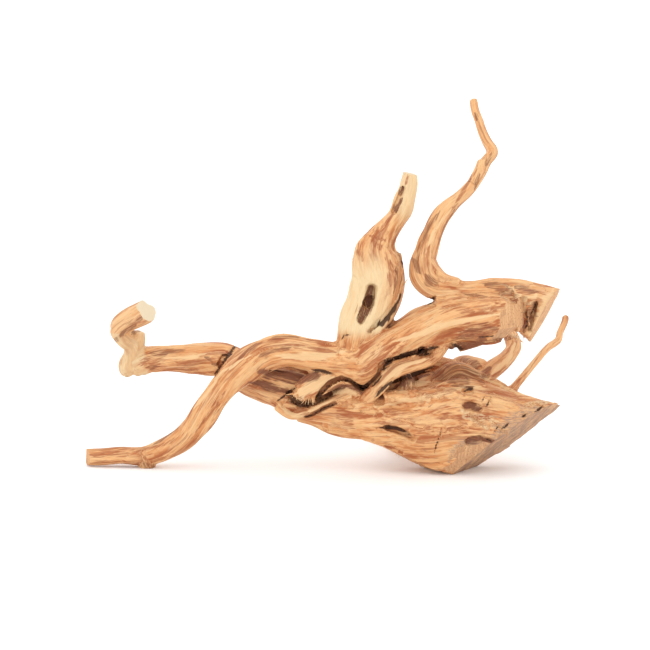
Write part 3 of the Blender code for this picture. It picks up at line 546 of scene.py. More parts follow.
# Torn fibres: the line of their feet in pixels, how many, their length and thickness in millimetres, and
# where they point in pixels
TUFTS = {
    "log_lip": (((502, 298), (508, 302), (513, 304)), 16, 2.4, 0.5, (0.8, -0.5)),
    "log_foot": (((509, 337), (524, 340)), 18, 4.0, 0.6, (0.5, 1.0)),
    "crown_foot": (((524, 335), (531, 338)), 12, 3.6, 0.6, (0.2, 1.0)),
    "stub_teeth": (((293, 394), (303, 398), (317, 397)), 9, 4.6, 2.2, (-0.35, 1.0)),
    "stub_whiskers": (((293, 396), (303, 400), (317, 399)), 10, 3.6, 0.6, (-0.35, 1.0)),
    "tear_middle": (((468, 414), (475, 418), (483, 424)), 44, 2.8, 0.6, (0.5, 0.8)),
    "tear_high": (((485, 396), (489, 400), (491, 407)), 16, 2.8, 0.5, (0.9, 0.3)),
    "tear_edge": (((493, 421), (499, 427), (507, 434)), 30, 2.8, 0.6, (0.8, 0.7)),
    "tear_low": (((443, 426), (440, 437), (435, 455)), 12, 2.4, 0.5, (0.3, 1.0)),
    "front_edge": (((452, 449), (460, 445), (470, 444)), 18, 2.0, 0.5, (0.2, 1.0)),
    "rind": (((531, 403), (543, 407)), 26, 2.6, 0.6, (0.7, -0.4)),
    "recess_splinter": (((287.5, 368), (289, 369.5)), 3, 8.0, 1.0, (0.7, 0.7)),
    "shoot_eye_splinter": (((366, 297), (363, 308)), 8, 7.5, 0.8, (-0.3, 1.0)),
    "shoot_spur": (((403, 286), (405, 284)), 4, 5.5, 0.7, (0.5, -1.0)),
    "shoot_hem": (((366, 330), (374, 329)), 10, 2.4, 0.6, (-0.2, 1.0)),
    "arm_crumb": (((327, 344), (337, 345)), 10, 2.2, 0.6, (0.4, -1.0)),
    "shoot_hair": (((352, 258), (353, 260)), 5, 2.6, 0.4, (-1.0, 0.1)),
    "belly_hair": (((396, 454), (403, 456)), 6, 2.6, 0.4, (-0.3, 1.0)),
    "nick_bridge": (((399, 196), (402, 195.5)), 3, 3.4, 0.8, (1.0, -0.2)),
}


def linear(code):
    """The linear red, green and blue of an sRGB hex code."""
    shares = [int(code[i : i + 2], 16) / 255 for i in (1, 3, 5)]
    return [c / 12.92 if c <= 0.04045 else ((c + 0.055) / 1.055) ** 2.4 for c in shares]


def colour_setting(name, description, code):
    return bpy.props.FloatVectorProperty(
        name=name, description=description, subtype="COLOR", size=3, min=0, max=1, default=linear(code)
    )


class WoodForm(bpy.types.PropertyGroup):
    """How finely the wood is modelled and how deep its relief is."""

    grid: bpy.props.FloatProperty(
        name="Grid", description="Side of the grid that the roots are fused on",
        default=0.8 * MM, unit="LENGTH",
    )
    relax: bpy.props.IntProperty(
        name="Relax", description="Rounds of smoothing that turn the joins into fillets", default=6, min=0
    )
    triangles: bpy.props.IntProperty(
        name="Triangles", description="Triangles kept on the wood", default=212000, max=215000
    )
    strand: bpy.props.FloatProperty(
        name="Strand relief", description="Height of the strands along the grain",
        default=0.75 * MM, unit="LENGTH",
    )
    fibre: bpy.props.FloatProperty(
        name="Fibre relief", description="Height of the fine fibres along the grain",
        default=0.22 * MM, unit="LENGTH",
    )
    crack: bpy.props.FloatProperty(
        name="Crack depth", description="Depth of the drying cracks along the grain",
        default=0.6 * MM, unit="LENGTH",
    )
    fibre_bend: bpy.props.FloatProperty(
        name="Fibre bend", description="How far a torn fibre's tip bends, as a share of its length",
        default=0.18,
    )


class WoodColours(bpy.types.PropertyGroup):
    """The wood's tones."""

    tan: colour_setting("Tan", "Stripped sapwood, most of the surface", "#D1905A")
    deep: colour_setting("Deep tan", "Sapwood in the valleys between strands", "#B66C3C")
    light: colour_setting("Light tan", "Sapwood on polished strands", "#E3B27C")
    rust: colour_setting("Rust", "Resin-brown stain along the grain", "#99502A")
    # Also painted as shade under the log, by the hook and along the arm's edge
    bark: colour_setting("Bark", "Left-over inner bark", "#784228")
    # Rot brown, also painted as shade in recesses and shut-in hollows
    rot: colour_setting("Rot", "Brown rot in the hollows", "#7F4E36")
    # Painted shade in creases and under overhangs, and the dark of a few real cracks
    crack_and_crease_shade: colour_setting("Crease", "Soil-dark crevices", "#40240F")
    cream: colour_setting("Cream", "Freshly debarked shoot", "#E0C599")
    fresh: colour_setting("Fresh sawn", "End grain that was sawn last", "#D8C9AC")
    # Also painted as highlights where light falls on the arms, the log and the standing root
    pale: colour_setting("Pale", "Worn ridges and fresh breaks", "#E3BD8C")
    sawn: colour_setting("Sawn", "Sawn end grain", "#D3A376")
    sawn_grey: colour_setting("Weathered sawn", "Sawn end grain that has greyed", "#A3846E")


class Studio(bpy.types.PropertyGroup):
    """Where the camera and the lights stand."""

    aim: bpy.props.FloatVectorProperty(
        name="Aim", description="Point that the camera looks at", subtype="TRANSLATION", unit="LENGTH",
        default=(-4.96 * MM, -33.19 * MM, 91 * MM),
    )
    distance: bpy.props.FloatProperty(
        name="Distance", description="From the camera to its aim", default=1119 * MM, unit="LENGTH"
    )
    tilt: bpy.props.FloatProperty(
        name="Tilt", description="How far the camera looks down", default=math.radians(8), subtype="ANGLE"
    )
    lens: bpy.props.FloatProperty(
        name="Lens", description="Focal length in millimetres", default=100, unit="CAMERA"
    )
    sky: bpy.props.FloatProperty(
        name="Sky", description="Strength of the white surround", default=1.3, min=0
    )
    top_light: bpy.props.FloatProperty(
        name="Top light", description="Power of the overhead softbox", default=1.2, unit="POWER"
    )
    side_light: bpy.props.FloatProperty(
        name="Side light", description="Power of the left softbox", default=0.8, unit="POWER"
    )
    floor: colour_setting("Floor", "Plain white table", "#FCFCFC")


def photo_ray(pixel):
    """The eye point in millimetres and the way to a pixel of the photograph."""
    studio = bpy.context.scene.spiderwood_studio
    forward = Vector((0, math.cos(studio.tilt), -math.sin(studio.tilt)))
    up = Vector((0, math.sin(studio.tilt), math.cos(studio.tilt)))
    eye = Vector(studio.aim) - forward * studio.distance
    pixel_side = SENSOR / studio.lens / PHOTO_SIDE
    right, rise = (pixel[0] - PHOTO_SIDE / 2) * pixel_side, (PHOTO_SIDE / 2 - pixel[1]) * pixel_side
    return eye / MM, (forward + Vector((right, 0, 0)) + up * rise).normalized()


def spots_on_wood(tree, line):
    """Where a line of the photograph falls on the wood or close beside it, and the line's shares there."""
    spots, shares = [], []
    steps = [max(2, round(math.dist(start, end))) for start, end in zip(line[:-1], line[1:])]
    for number, (start, end, count) in enumerate(zip(line[:-1], line[1:], steps)):
        for i in range(count + 1):
            eye, way = photo_ray([a + (b - a) * i / count for a, b in zip(start, end)])
            spot = tree.ray_cast(eye, way)[0] or spot_beside(tree, eye, way)
            if spot is not None:
                spots.append(spot)
                shares.append((sum(steps[:number]) + i) / sum(steps))
    return np.array(spots).reshape(-1, 3), np.array(shares)


def spot_beside(tree, eye, way):
    """The wood's point nearest to a line of sight that just misses it."""
    best, gap = None, BESIDE_REACH
    for depth in SIGHT_DEPTHS:
        spot, _, _, reach = tree.find_nearest(eye + way * ((depth - eye.y) / way.y), gap)
        if spot is not None:
            best, gap = spot, reach
    return best


def stroke_ratio(points, tree, half_width, line, taper=LINE_TAPER):
    """How far each point lies from a tapered stroke, as a share of the stroke's half width there."""
    spots, shares = spots_on_wood(tree, line)
    ratio = np.full(len(points), np.inf)
    if not len(spots):
        return ratio
    widths = half_width * np.maximum(STROKE_TIP, np.sin(math.pi * shares).clip(0, 1) ** taper)
    widths *= 1 + STROKE_WOBBLE * smooth_noise(spots / WOBBLE_CELL, seed=30)
    reach = STROKE_REACH * half_width
    near = np.flatnonzero(np.all((points > spots.min(0) - reach) & (points < spots.max(0) + reach), axis=1))
    for part in np.array_split(near, 1 + 2 * len(near) // BATCH):
        gaps = points[part][:, None] - spots[None]
        ratio[part] = (np.sqrt((gaps**2).sum(-1)) / widths).min(1)
    return ratio


def smooth_noise(points, seed=0):
    """Smooth noise from -1 to 1 with one cell a unit, the same on each run."""
    cell = np.floor(points).astype(np.int64)
    part = points - cell
    part = part * part * (3 - 2 * part)
    total = np.zeros(len(points))
    for corner in itertools.product((0, 1), repeat=3):
        mixed = (cell + corner) @ np.array((73856093, 19349663, 83492791)) + seed * 2654435761
        mixed = ((mixed ^ (mixed >> 13)) * 1274126177) & 0xFFFFFFFF
        mixed = (mixed ^ (mixed >> 16)) & 0xFFFF
        weight = np.prod(np.where(corner, part, 1 - part), axis=1)
        total += weight * (mixed / 32767.5 - 1)
    return total


def smooth_route(stations, step):
    """Points, widths and thicknesses every step along a smooth curve through the stations."""
    knots = np.array(stations, float)
    spans = np.linalg.norm(np.diff(knots[:, :3], axis=0), axis=1)
    slopes = np.diff(knots, axis=0) / spans[:, None]
    inner = slopes[:-1] * spans[1:, None] + slopes[1:] * spans[:-1, None]
    inner /= (spans[:-1] + spans[1:])[:, None]
    tangents = np.vstack([slopes[:1], inner, slopes[-1:]])
    pieces = []
    for i, span in enumerate(spans):
        t = np.linspace(0, 1, max(2, math.ceil(span / step)) + 1)[:-1, None]
        pieces.append(
            (2 * t**3 - 3 * t**2 + 1) * knots[i]
            + (t**3 - 2 * t**2 + t) * span * tangents[i]
            + (3 * t**2 - 2 * t**3) * knots[i + 1]
            + (t**3 - t**2) * span * tangents[i + 1]
        )
    return np.vstack([*pieces, knots[-1:]])


def unit(rows):
    return rows / np.linalg.norm(rows, axis=-1, keepdims=True)


def lay_track(stations):
    """A root's line in rings: points, ways ahead, across and back, half widths and depths, lengths so far."""
    route = smooth_route(stations, RING_STEP)
    points = route[:, :3] + OFFSET
    ahead = unit(np.gradient(points, axis=0))
    across = np.empty_like(points)
    side = np.cross(ahead[0], (0, 1, 0))
    for i, forward in enumerate(ahead):
        side = unit(side - forward * (side @ forward))
        across[i] = side
    lengths = np.concatenate([[0], np.cumsum(np.linalg.norm(np.diff(points, axis=0), axis=1))])
    return {
        "points": points,
        "ahead": ahead,
        "across": across,
        "back": np.cross(ahead, across),
        "wide": route[:, 3] / 2,
        "deep": route[:, 4] / 2,
        "lengths": lengths,
    }


def flute(turn, along, seed):
    """How far the surface swells or sinks at a turn round the root and a length along it, as a share."""
    angle = turn + FLUTE_TWIST * along
    cos, sin = math.cos(angle), math.sin(angle)
    coarse = noise.noise(Vector((1.1 * cos, 1.1 * sin, along / FLUTE_COARSE_LENGTH + seed)))
    fine = noise.noise(Vector((2.6 * cos, 2.6 * sin, along / FLUTE_FINE_LENGTH - seed)))
    return FLUTE_COARSE * coarse + FLUTE_FINE * fine


def add_tube(shape, track, seed):
    """Adds one fluted root to the bmesh: rings square to its route, bridged, and closed at both ends."""
    rings = []
    for i, point in enumerate(track["points"]):
        wide, deep = track["wide"][i] + RELAX_LOSS, track["deep"][i] + RELAX_LOSS
        ring = []
        for k in range(RING_SIDES):
            turn = math.tau * k / RING_SIDES
            swell = 1 + flute(turn, track["lengths"][i], seed) * min(1, FLUTE_LIMIT / wide)
            reach = track["across"][i] * wide * math.cos(turn) + track["back"][i] * deep * math.sin(turn)
            ring.append(shape.verts.new((point + swell * reach) * MM))
        rings.append(ring)
    for lower, upper in zip(rings, rings[1:]):
        for k in range(RING_SIDES):
            shape.faces.new((lower[k - 1], lower[k], upper[k], upper[k - 1]))
    shape.faces.new(rings[0][::-1])
    shape.faces.new(rings[-1])


def apply_modifier(obj, kind, **settings):
    modifier = obj.modifiers.new(kind.title(), kind)
    for name, value in settings.items():
        setattr(modifier, name, value)
    bpy.context.view_layer.objects.active = obj
    bpy.ops.object.modifier_apply(modifier=modifier.name)


def fuse_roots(tracks, form):
    """One closed skin round all the roots, with its creases relaxed into fillets."""
    shape = bmesh.new()
    for number, track in enumerate(tracks):
        add_tube(shape, track, seed=10.0 * number)
    bmesh.ops.recalc_face_normals(shape, faces=shape.faces)
    mesh = bpy.data.meshes.new("stripped_wood")
    shape.to_mesh(mesh)
    shape.free()
    wood = bpy.data.objects.new("stripped_wood", mesh)
    bpy.context.scene.collection.objects.link(wood)
    apply_modifier(wood, "REMESH", mode="VOXEL", voxel_size=form.grid)
    apply_modifier(wood, "SMOOTH", factor=0.5, iterations=form.relax)
    return wood


def read_points(mesh):
    """The mesh's points in millimetres and its unit normals."""
    points = np.empty(len(mesh.vertices) * 3)
    normals = np.empty_like(points)
    mesh.vertices.foreach_get("co", points)
    mesh.vertices.foreach_get("normal", normals)
    return points.reshape(-1, 3) / MM, normals.reshape(-1, 3)


def write_points(mesh, points):
    mesh.vertices.foreach_set("co", (points * MM).ravel())
    mesh.update()


def tree_of(mesh, points):
    return BVHTree.FromPolygons(points.tolist(), [tuple(face.vertices) for face in mesh.polygons])


def press_hollows(mesh):
    """Sinks the rotted hollows and grooves into the front, each along its own line, as in the solid."""
    points, normals = read_points(mesh)
    for line, half_width, depth in HOLLOWS.values():
        aside = np.full(len(points), np.inf)
        away = np.full(len(points), np.inf)
        corners = np.array(line, float) + OFFSET
        for start, end in zip(corners[:-1], corners[1:]):
            share = np.clip((points - start) @ (end - start) / ((end - start) @ (end - start)), 0, 1)
            gap = points - (start + share[:, None] * (end - start))
            aside = np.minimum(aside, np.hypot(gap[:, 0], gap[:, 2]) / half_width)
            away = np.minimum(away, np.abs(gap[:, 1]))
        sink = np.clip(1 - aside**3, 0, 1)
        front = (away < HOLLOW_REACH) & (normals[:, 1] < 0)
        points[:, 1] += depth * sink * front
    write_points(mesh, points)


def follow_grain(points, tracks):
    """Each point's root, its length along it and offsets across it, wound with the grain, and the girth."""
    nearest = np.full(len(points), np.inf)
    owner = np.zeros(len(points), int)
    grain = np.zeros((len(points), 3))
    girth = np.ones(len(points))
    for number, track in enumerate(tracks):
        ragged = 1 + ROOT_WOBBLE * smooth_noise(points / WOBBLE_CELL, seed=20 + number)
        reach = max(track["wide"].max(), track["deep"].max()) + ROOT_REACH
        low, high = track["points"].min(0) - reach, track["points"].max(0) + reach
        near = np.flatnonzero(np.all((points > low) & (points < high), axis=1))
        for part in np.array_split(near, 1 + len(near) // BATCH):
            gaps = ((points[part][:, None] - track["points"][None]) ** 2).sum(-1)
            i = gaps.argmin(1)
            offset = points[part] - track["points"][i]
            ahead = (offset * track["ahead"][i]).sum(1)
            across = (offset * track["across"][i]).sum(1)
            back = (offset * track["back"][i]).sum(1)
            beyond = np.maximum(0, np.abs(ahead) - RING_STEP)
            wide, deep = track["wide"][i], track["deep"][i]
            skin = np.sqrt((across / wide) ** 2 + (back / deep) ** 2 + (beyond / wide) ** 2) * ragged[part]
            along = track["lengths"][i] + ahead
            cos, sin = np.cos(FLUTE_TWIST * along), np.sin(FLUTE_TWIST * along)
            turned = np.stack([along, across * cos - back * sin, across * sin + back * cos], 1)
            closer = skin < nearest[part]
            chosen = part[closer]
            nearest[chosen] = skin[closer]
            owner[chosen] = number
            grain[chosen] = turned[closer]
            girth[chosen] = np.minimum(wide, deep)[closer]
    grain[:, 0] += ROOT_STRIDE * owner
    return owner, grain, girth


def raise_grain(mesh, tracks, form):
    """Raises strands and fibres along the grain, and opens drying cracks and the creases of the marks."""
    points, normals = read_points(mesh)
    tree = tree_of(mesh, points)
    _, grain, girth = follow_grain(points, tracks)
    slender = np.clip(girth / FULL_RELIEF_GIRTH, 0.25, 1)
    strands = smooth_noise(grain / STRAND_CELLS, seed=1)
    strands += 0.6 * smooth_noise(grain / SMALL_STRAND_CELLS, seed=2)
    fibres = smooth_noise(grain / FIBRE_CELLS, seed=3)
    ridge = 1 - np.abs(smooth_noise(grain / CRACK_CELLS, seed=4)) / CRACK_SHARE
    crack = np.clip(ridge, 0, 1) * np.clip(2 * smooth_noise(grain / CRACK_STRETCH_CELLS, seed=5), 0, 1)
    lumps = smooth_noise(points / LUMP_CELL, seed=6)
    lift = form.strand / MM * slender * (0.75 * strands + LUMP_SHARE * lumps)
    lift += form.fibre / MM * slender * fibres
    lift -= form.crack / MM * slender * crack
    crumble = smooth_noise(points / CRUMBLE_CELL, seed=8)
    for strokes, taper in ((CREASE_SHADE_AND_CRACKS, LINE_TAPER), (ROT_AND_SHADE, PIT_TAPER)):
        for half_width, depth, line in strokes.values():
            ratio = stroke_ratio(points, tree, half_width, line, taper)
            lift -= depth * np.clip(1 - (ratio / 1.3) ** 2, 0, 1) * (1 + 0.35 * crumble)
    point, facing = np.array(SAW_CUTS["trunk"][0]) + OFFSET, unit(np.array(SAW_CUTS["trunk"][1]))
    belt = np.clip(1 - np.abs((points - point) @ facing) / RIM_BELT, 0, 1)
    lift += belt * RIM_LIFT * smooth_noise(points / RIM_CELL, seed=15)
    lift += belt * SMALL_RIM_LIFT * smooth_noise(points / SMALL_RIM_CELL, seed=16)
    torn = np.clip(2 * stroke_mask(points, grain, tree, TORN.values()) - 0.6, 0, 1)
    lift += TORN_LIFT * torn * smooth_noise(points / TORN_CELL, seed=14)
    write_points(mesh, points + lift[:, None] * normals)


def cutting_block(point, facing, half_side, depth):
    """A box whose one face lies on the cut, and which holds the waste beyond it."""
    bpy.ops.object.select_all(action="DESELECT")
    bpy.ops.mesh.primitive_cube_add(size=1)
    block = bpy.context.object
    turn = Vector(facing).to_track_quat("Z", "Y").to_matrix().to_4x4()
    size = Matrix.Diagonal((2 * half_side, 2 * half_side, depth, 1))
    lift = Matrix.Translation((0, 0, depth / 2))
    place = Matrix.Translation(Vector(point) + Vector(OFFSET))
    block.data.transform(Matrix.Scale(MM, 4) @ place @ turn @ lift @ size)
    return block


def saw(wood, point, facing, half_side, depth):
    block = cutting_block(point, facing, half_side, depth)
    apply_modifier(wood, "BOOLEAN", operation="DIFFERENCE", solver="MANIFOLD", object=block)
    bpy.data.objects.remove(block)


def keep_in_solid_box(mesh):
    """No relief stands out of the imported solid's box."""
    low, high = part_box(NODE)
    points, _ = read_points(mesh)
    write_points(mesh, np.clip(points, np.array(low) / MM + BOX_MARGIN, np.array(high) / MM - BOX_MARGIN))


def set_float(mesh, name, values):
    attribute = mesh.attributes.new(name, "FLOAT", "POINT")
    attribute.data.foreach_set("value", values.astype(np.float32))


def shade_in_hollows(mesh, points, normals, tree):
    """How much each point is shut in by wood within reach, from 0 in the open to 1."""
    turns = np.arange(SHADE_RAYS)
    rise = 1 - 2 * (turns + 0.5) / SHADE_RAYS
    angle = turns * math.pi * (3 - math.sqrt(5))
    flat = np.sqrt(1 - rise**2)
    ways = np.stack([flat * np.cos(angle), flat * np.sin(angle), rise], 1)
    facing = normals @ ways.T
    directions = [Vector(way) for way in ways]
    shade = np.zeros(len(points))
    starts = points + SHADE_LIFT * normals
    for i, start in enumerate(starts.tolist()):
        origin = Vector(start)
        shut, whole = 0.0, 0.0
        for k in np.flatnonzero(facing[i] > SHADE_LEAST_COSINE):
            weight = facing[i, k]
            whole += weight
            gap = tree.ray_cast(origin, directions[k], SHADE_REACH)[3]
            if gap is not None:
                shut += weight * (1 - gap / SHADE_REACH)
        shade[i] = shut / max(whole, 1e-6)
    return shade


def bend_of(mesh, points, normals):
    """How far each point stands out of its neighbours, in millimetres."""
    ends = np.empty(len(mesh.edges) * 2, int)
    mesh.edges.foreach_get("vertices", ends)
    ends = ends.reshape(-1, 2)
    around = np.zeros_like(points)
    count = np.zeros(len(points))
    for here, there in ((0, 1), (1, 0)):
        np.add.at(around, ends[:, here], points[ends[:, there]])
        np.add.at(count, ends[:, here], 1)
    return ((points - around / np.maximum(count, 1)[:, None]) * normals).sum(1)


def stroke_mask(points, grain, tree, strokes, taper=LINE_TAPER):
    """Where marks lie: 1 on a stroke's line, a half at its edge, ragged along the grain, 0 well beyond."""
    mask = np.zeros(len(points))
    rough = 0.6 * smooth_noise(grain / RAGGED_CELLS, seed=7)
    rough += 0.4 * smooth_noise(grain / FINE_RAGGED_CELLS, seed=9)
    for half_width, line in strokes:
        ratio = stroke_ratio(points, tree, half_width, line, taper)
        mask = np.maximum(mask, np.clip(1 - 0.5 * ratio * (1 + 0.5 * rough), 0, 1))
    return mask


def write_marks(mesh, lines, tracks):
    """Stores the grain's coordinates and the masks that the finishes read."""
    points, normals = read_points(mesh)
    tree = tree_of(mesh, points)
    owner, grain, _ = follow_grain(points, tracks)
    vector = mesh.attributes.new("grain", "FLOAT_VECTOR", "POINT")
    vector.data.foreach_set("vector", grain.astype(np.float32).ravel())
    # Crease marks: painted shade in crevices, with a few real cracks, painted narrower than pressed
    thin = [(CREASE_PAINT * half_width, line) for half_width, _, line in CREASE_SHADE_AND_CRACKS.values()]
    # Rot marks: brown rot in the eye and pits, and painted shade in the recesses
    rot_and_shade_strokes = [(half_width, line) for half_width, _, line in ROT_AND_SHADE.values()]
    set_float(mesh, "rot", stroke_mask(points, grain, tree, rot_and_shade_strokes, PIT_TAPER))
    # The bark marks hold painted shade, and the pale marks painted highlights, among the real marks
    for name, strokes in (
        ("crack_and_crease_shade", thin), ("bark", BARK_AND_SHADE.values()), ("rust", RUST.values()), ("pale", PALE_AND_HIGHLIGHTS.values()),
        ("torn", TORN.values()), ("sawn_skin", SAWN_SKIN.values()),
    ):
        set_float(mesh, name, stroke_mask(points, grain, tree, strokes))
    set_float(mesh, "cream", debarked(points - OFFSET, grain, owner, list(lines)))
    set_float(mesh, "hidden", np.clip(2 * normals[:, 1], 0, 1))
    # How shut in each point is, which the wood's finish paints as shade
    set_float(mesh, "shade", shade_in_hollows(mesh, points, normals, tree))
    set_float(mesh, "worn", np.clip(bend_of(mesh, points, normals) / WORN_BEND, -1, 1))


def debarked(place, grain, owner, names):
    """How freshly debarked each point is: the swollen shoot's belly and tip, the hook's neck and its cut."""
    shoot = owner == names.index("swollen_shoot")
    hook = np.isin(owner, [names.index("hook"), names.index("hook_spur")])
    x, height = place[:, 0], place[:, 2]
    wander = smooth_noise(grain / WANDER_CELLS, seed=11)
    bare = shoot * np.clip((BARE_TOP + BARE_WANDER * wander - height) / BARE_TOP_FADE, 0, 1)
    bare *= np.clip((height - BARE_FOOT) / BARE_FOOT_FADE, 0, 1)
    bare *= np.clip(1.1 - (x - BARE_RIGHT) / BARE_RIGHT_FADE + 0.4 * wander, 0.15, 1)
    tip = shoot * np.clip((height - TIP_FOOT) / TIP_FADE, 0, 1)
    tip *= np.clip(0.55 + (x - TIP_LEFT) / TIP_FADE, 0.1, 0.8)
    neck = hook | ((x + 2 * wander < NECK_RIGHT) & (np.abs(height - NECK_HEIGHT) < NECK_REACH))
    face = neck * np.where(height > HOOK_KNEE, 0.2, 0.8)
    face *= 0.8 + 0.6 * smooth_noise(grain / HOOK_FACE_CELLS, seed=12)
    return np.clip(bare + tip + face + hook * on_cut(place, "hook_end"), 0, 1)


def on_cut(place, name):
    point, facing = np.array(SAW_CUTS[name][0]), unit(np.array(SAW_CUTS[name][1]))
    return np.abs((place - point) @ facing) < CUT_SKIN


def grain_lines():
    """The roots as the grain runs through them: the upper log and the front arm are one line."""
    lines = dict(ROOTS)
    log, arm = lines.pop("upper_log"), lines.pop("front_arm")
    lines["log_and_arm"] = [*log[:1:-1], *arm]
    return lines


def mark_sawn_faces(mesh):
    """Gives the saw cuts their own finish, and each corner there its place on the cut's plane."""
    centres = np.empty(len(mesh.polygons) * 3)
    normals = np.empty_like(centres)
    mesh.polygons.foreach_get("center", centres)
    mesh.polygons.foreach_get("normal", normals)
    centres, normals = centres.reshape(-1, 3) / MM, normals.reshape(-1, 3)
    places = np.zeros((len(mesh.loops), 3), np.float32)
    ages = np.zeros(len(mesh.loops), np.float32)
    points, _ = read_points(mesh)
    for name, (point, facing, half_side, _) in {**SAW_CUTS, **FINE_CUTS}.items():
        point, facing = np.array(point) + OFFSET, unit(np.array(facing))
        turn = np.array(Vector(facing).to_track_quat("Z", "Y").to_matrix())
        flat = (np.abs((centres - point) @ facing) < 0.02) & (normals @ facing > 0.9999)
        flat &= np.linalg.norm(centres - point, axis=1) < 1.5 * half_side
        for index in np.flatnonzero(flat):
            face = mesh.polygons[int(index)]
            face.material_index = 1
            face.use_smooth = False
            for corner in face.loop_indices:
                places[corner] = (points[mesh.loops[corner].vertex_index] - point) @ turn
                ages[corner] = AGED.get(name, 0)
    plane = mesh.attributes.new("cut_plane", "FLOAT_VECTOR", "CORNER")
    plane.data.foreach_set("vector", places.ravel())
    aged = mesh.attributes.new("aged", "FLOAT", "CORNER")
    aged.data.foreach_set("value", ages)


def add_node(tree, kind, inputs=(), **settings):
    """Adds a shader node with its settings, and sets or links its inputs."""
    node = tree.nodes.new(kind)
    for name, value in settings.items():
        setattr(node, name, value)
    for socket, value in dict(inputs).items():
        if isinstance(value, bpy.types.NodeSocket):
            tree.links.new(value, node.inputs[socket])
        else:
            node.inputs[socket].default_value = value
    return node


def lay_coats(tree, colour, coats):
    """Lays coats of colour over each other, each shown where all its patterns let it.

    A pattern is taken as it is, or rises from nothing at a low value to its top share at a high one.
    """
    for tone, *patterns in coats:
        shares = []
        for pattern, *limits in patterns:
            if limits:
                low, high, top = limits
                inputs = {"Value": pattern, "From Min": low, "From Max": high, "To Min": 0.0, "To Max": top}
                risen = add_node(tree, "ShaderNodeMapRange", inputs, interpolation_type="SMOOTHSTEP")
                pattern = risen.outputs[0]
            shares.append(pattern)
        share = shares[0]
        for other in shares[1:]:
            share = add_node(tree, "ShaderNodeMath", {0: share, 1: other}, operation="MULTIPLY").outputs[0]
        colour = add_node(tree, "ShaderNodeMix", {0: share, 6: colour, 7: tone}, data_type="RGBA").outputs[2]
    return colour


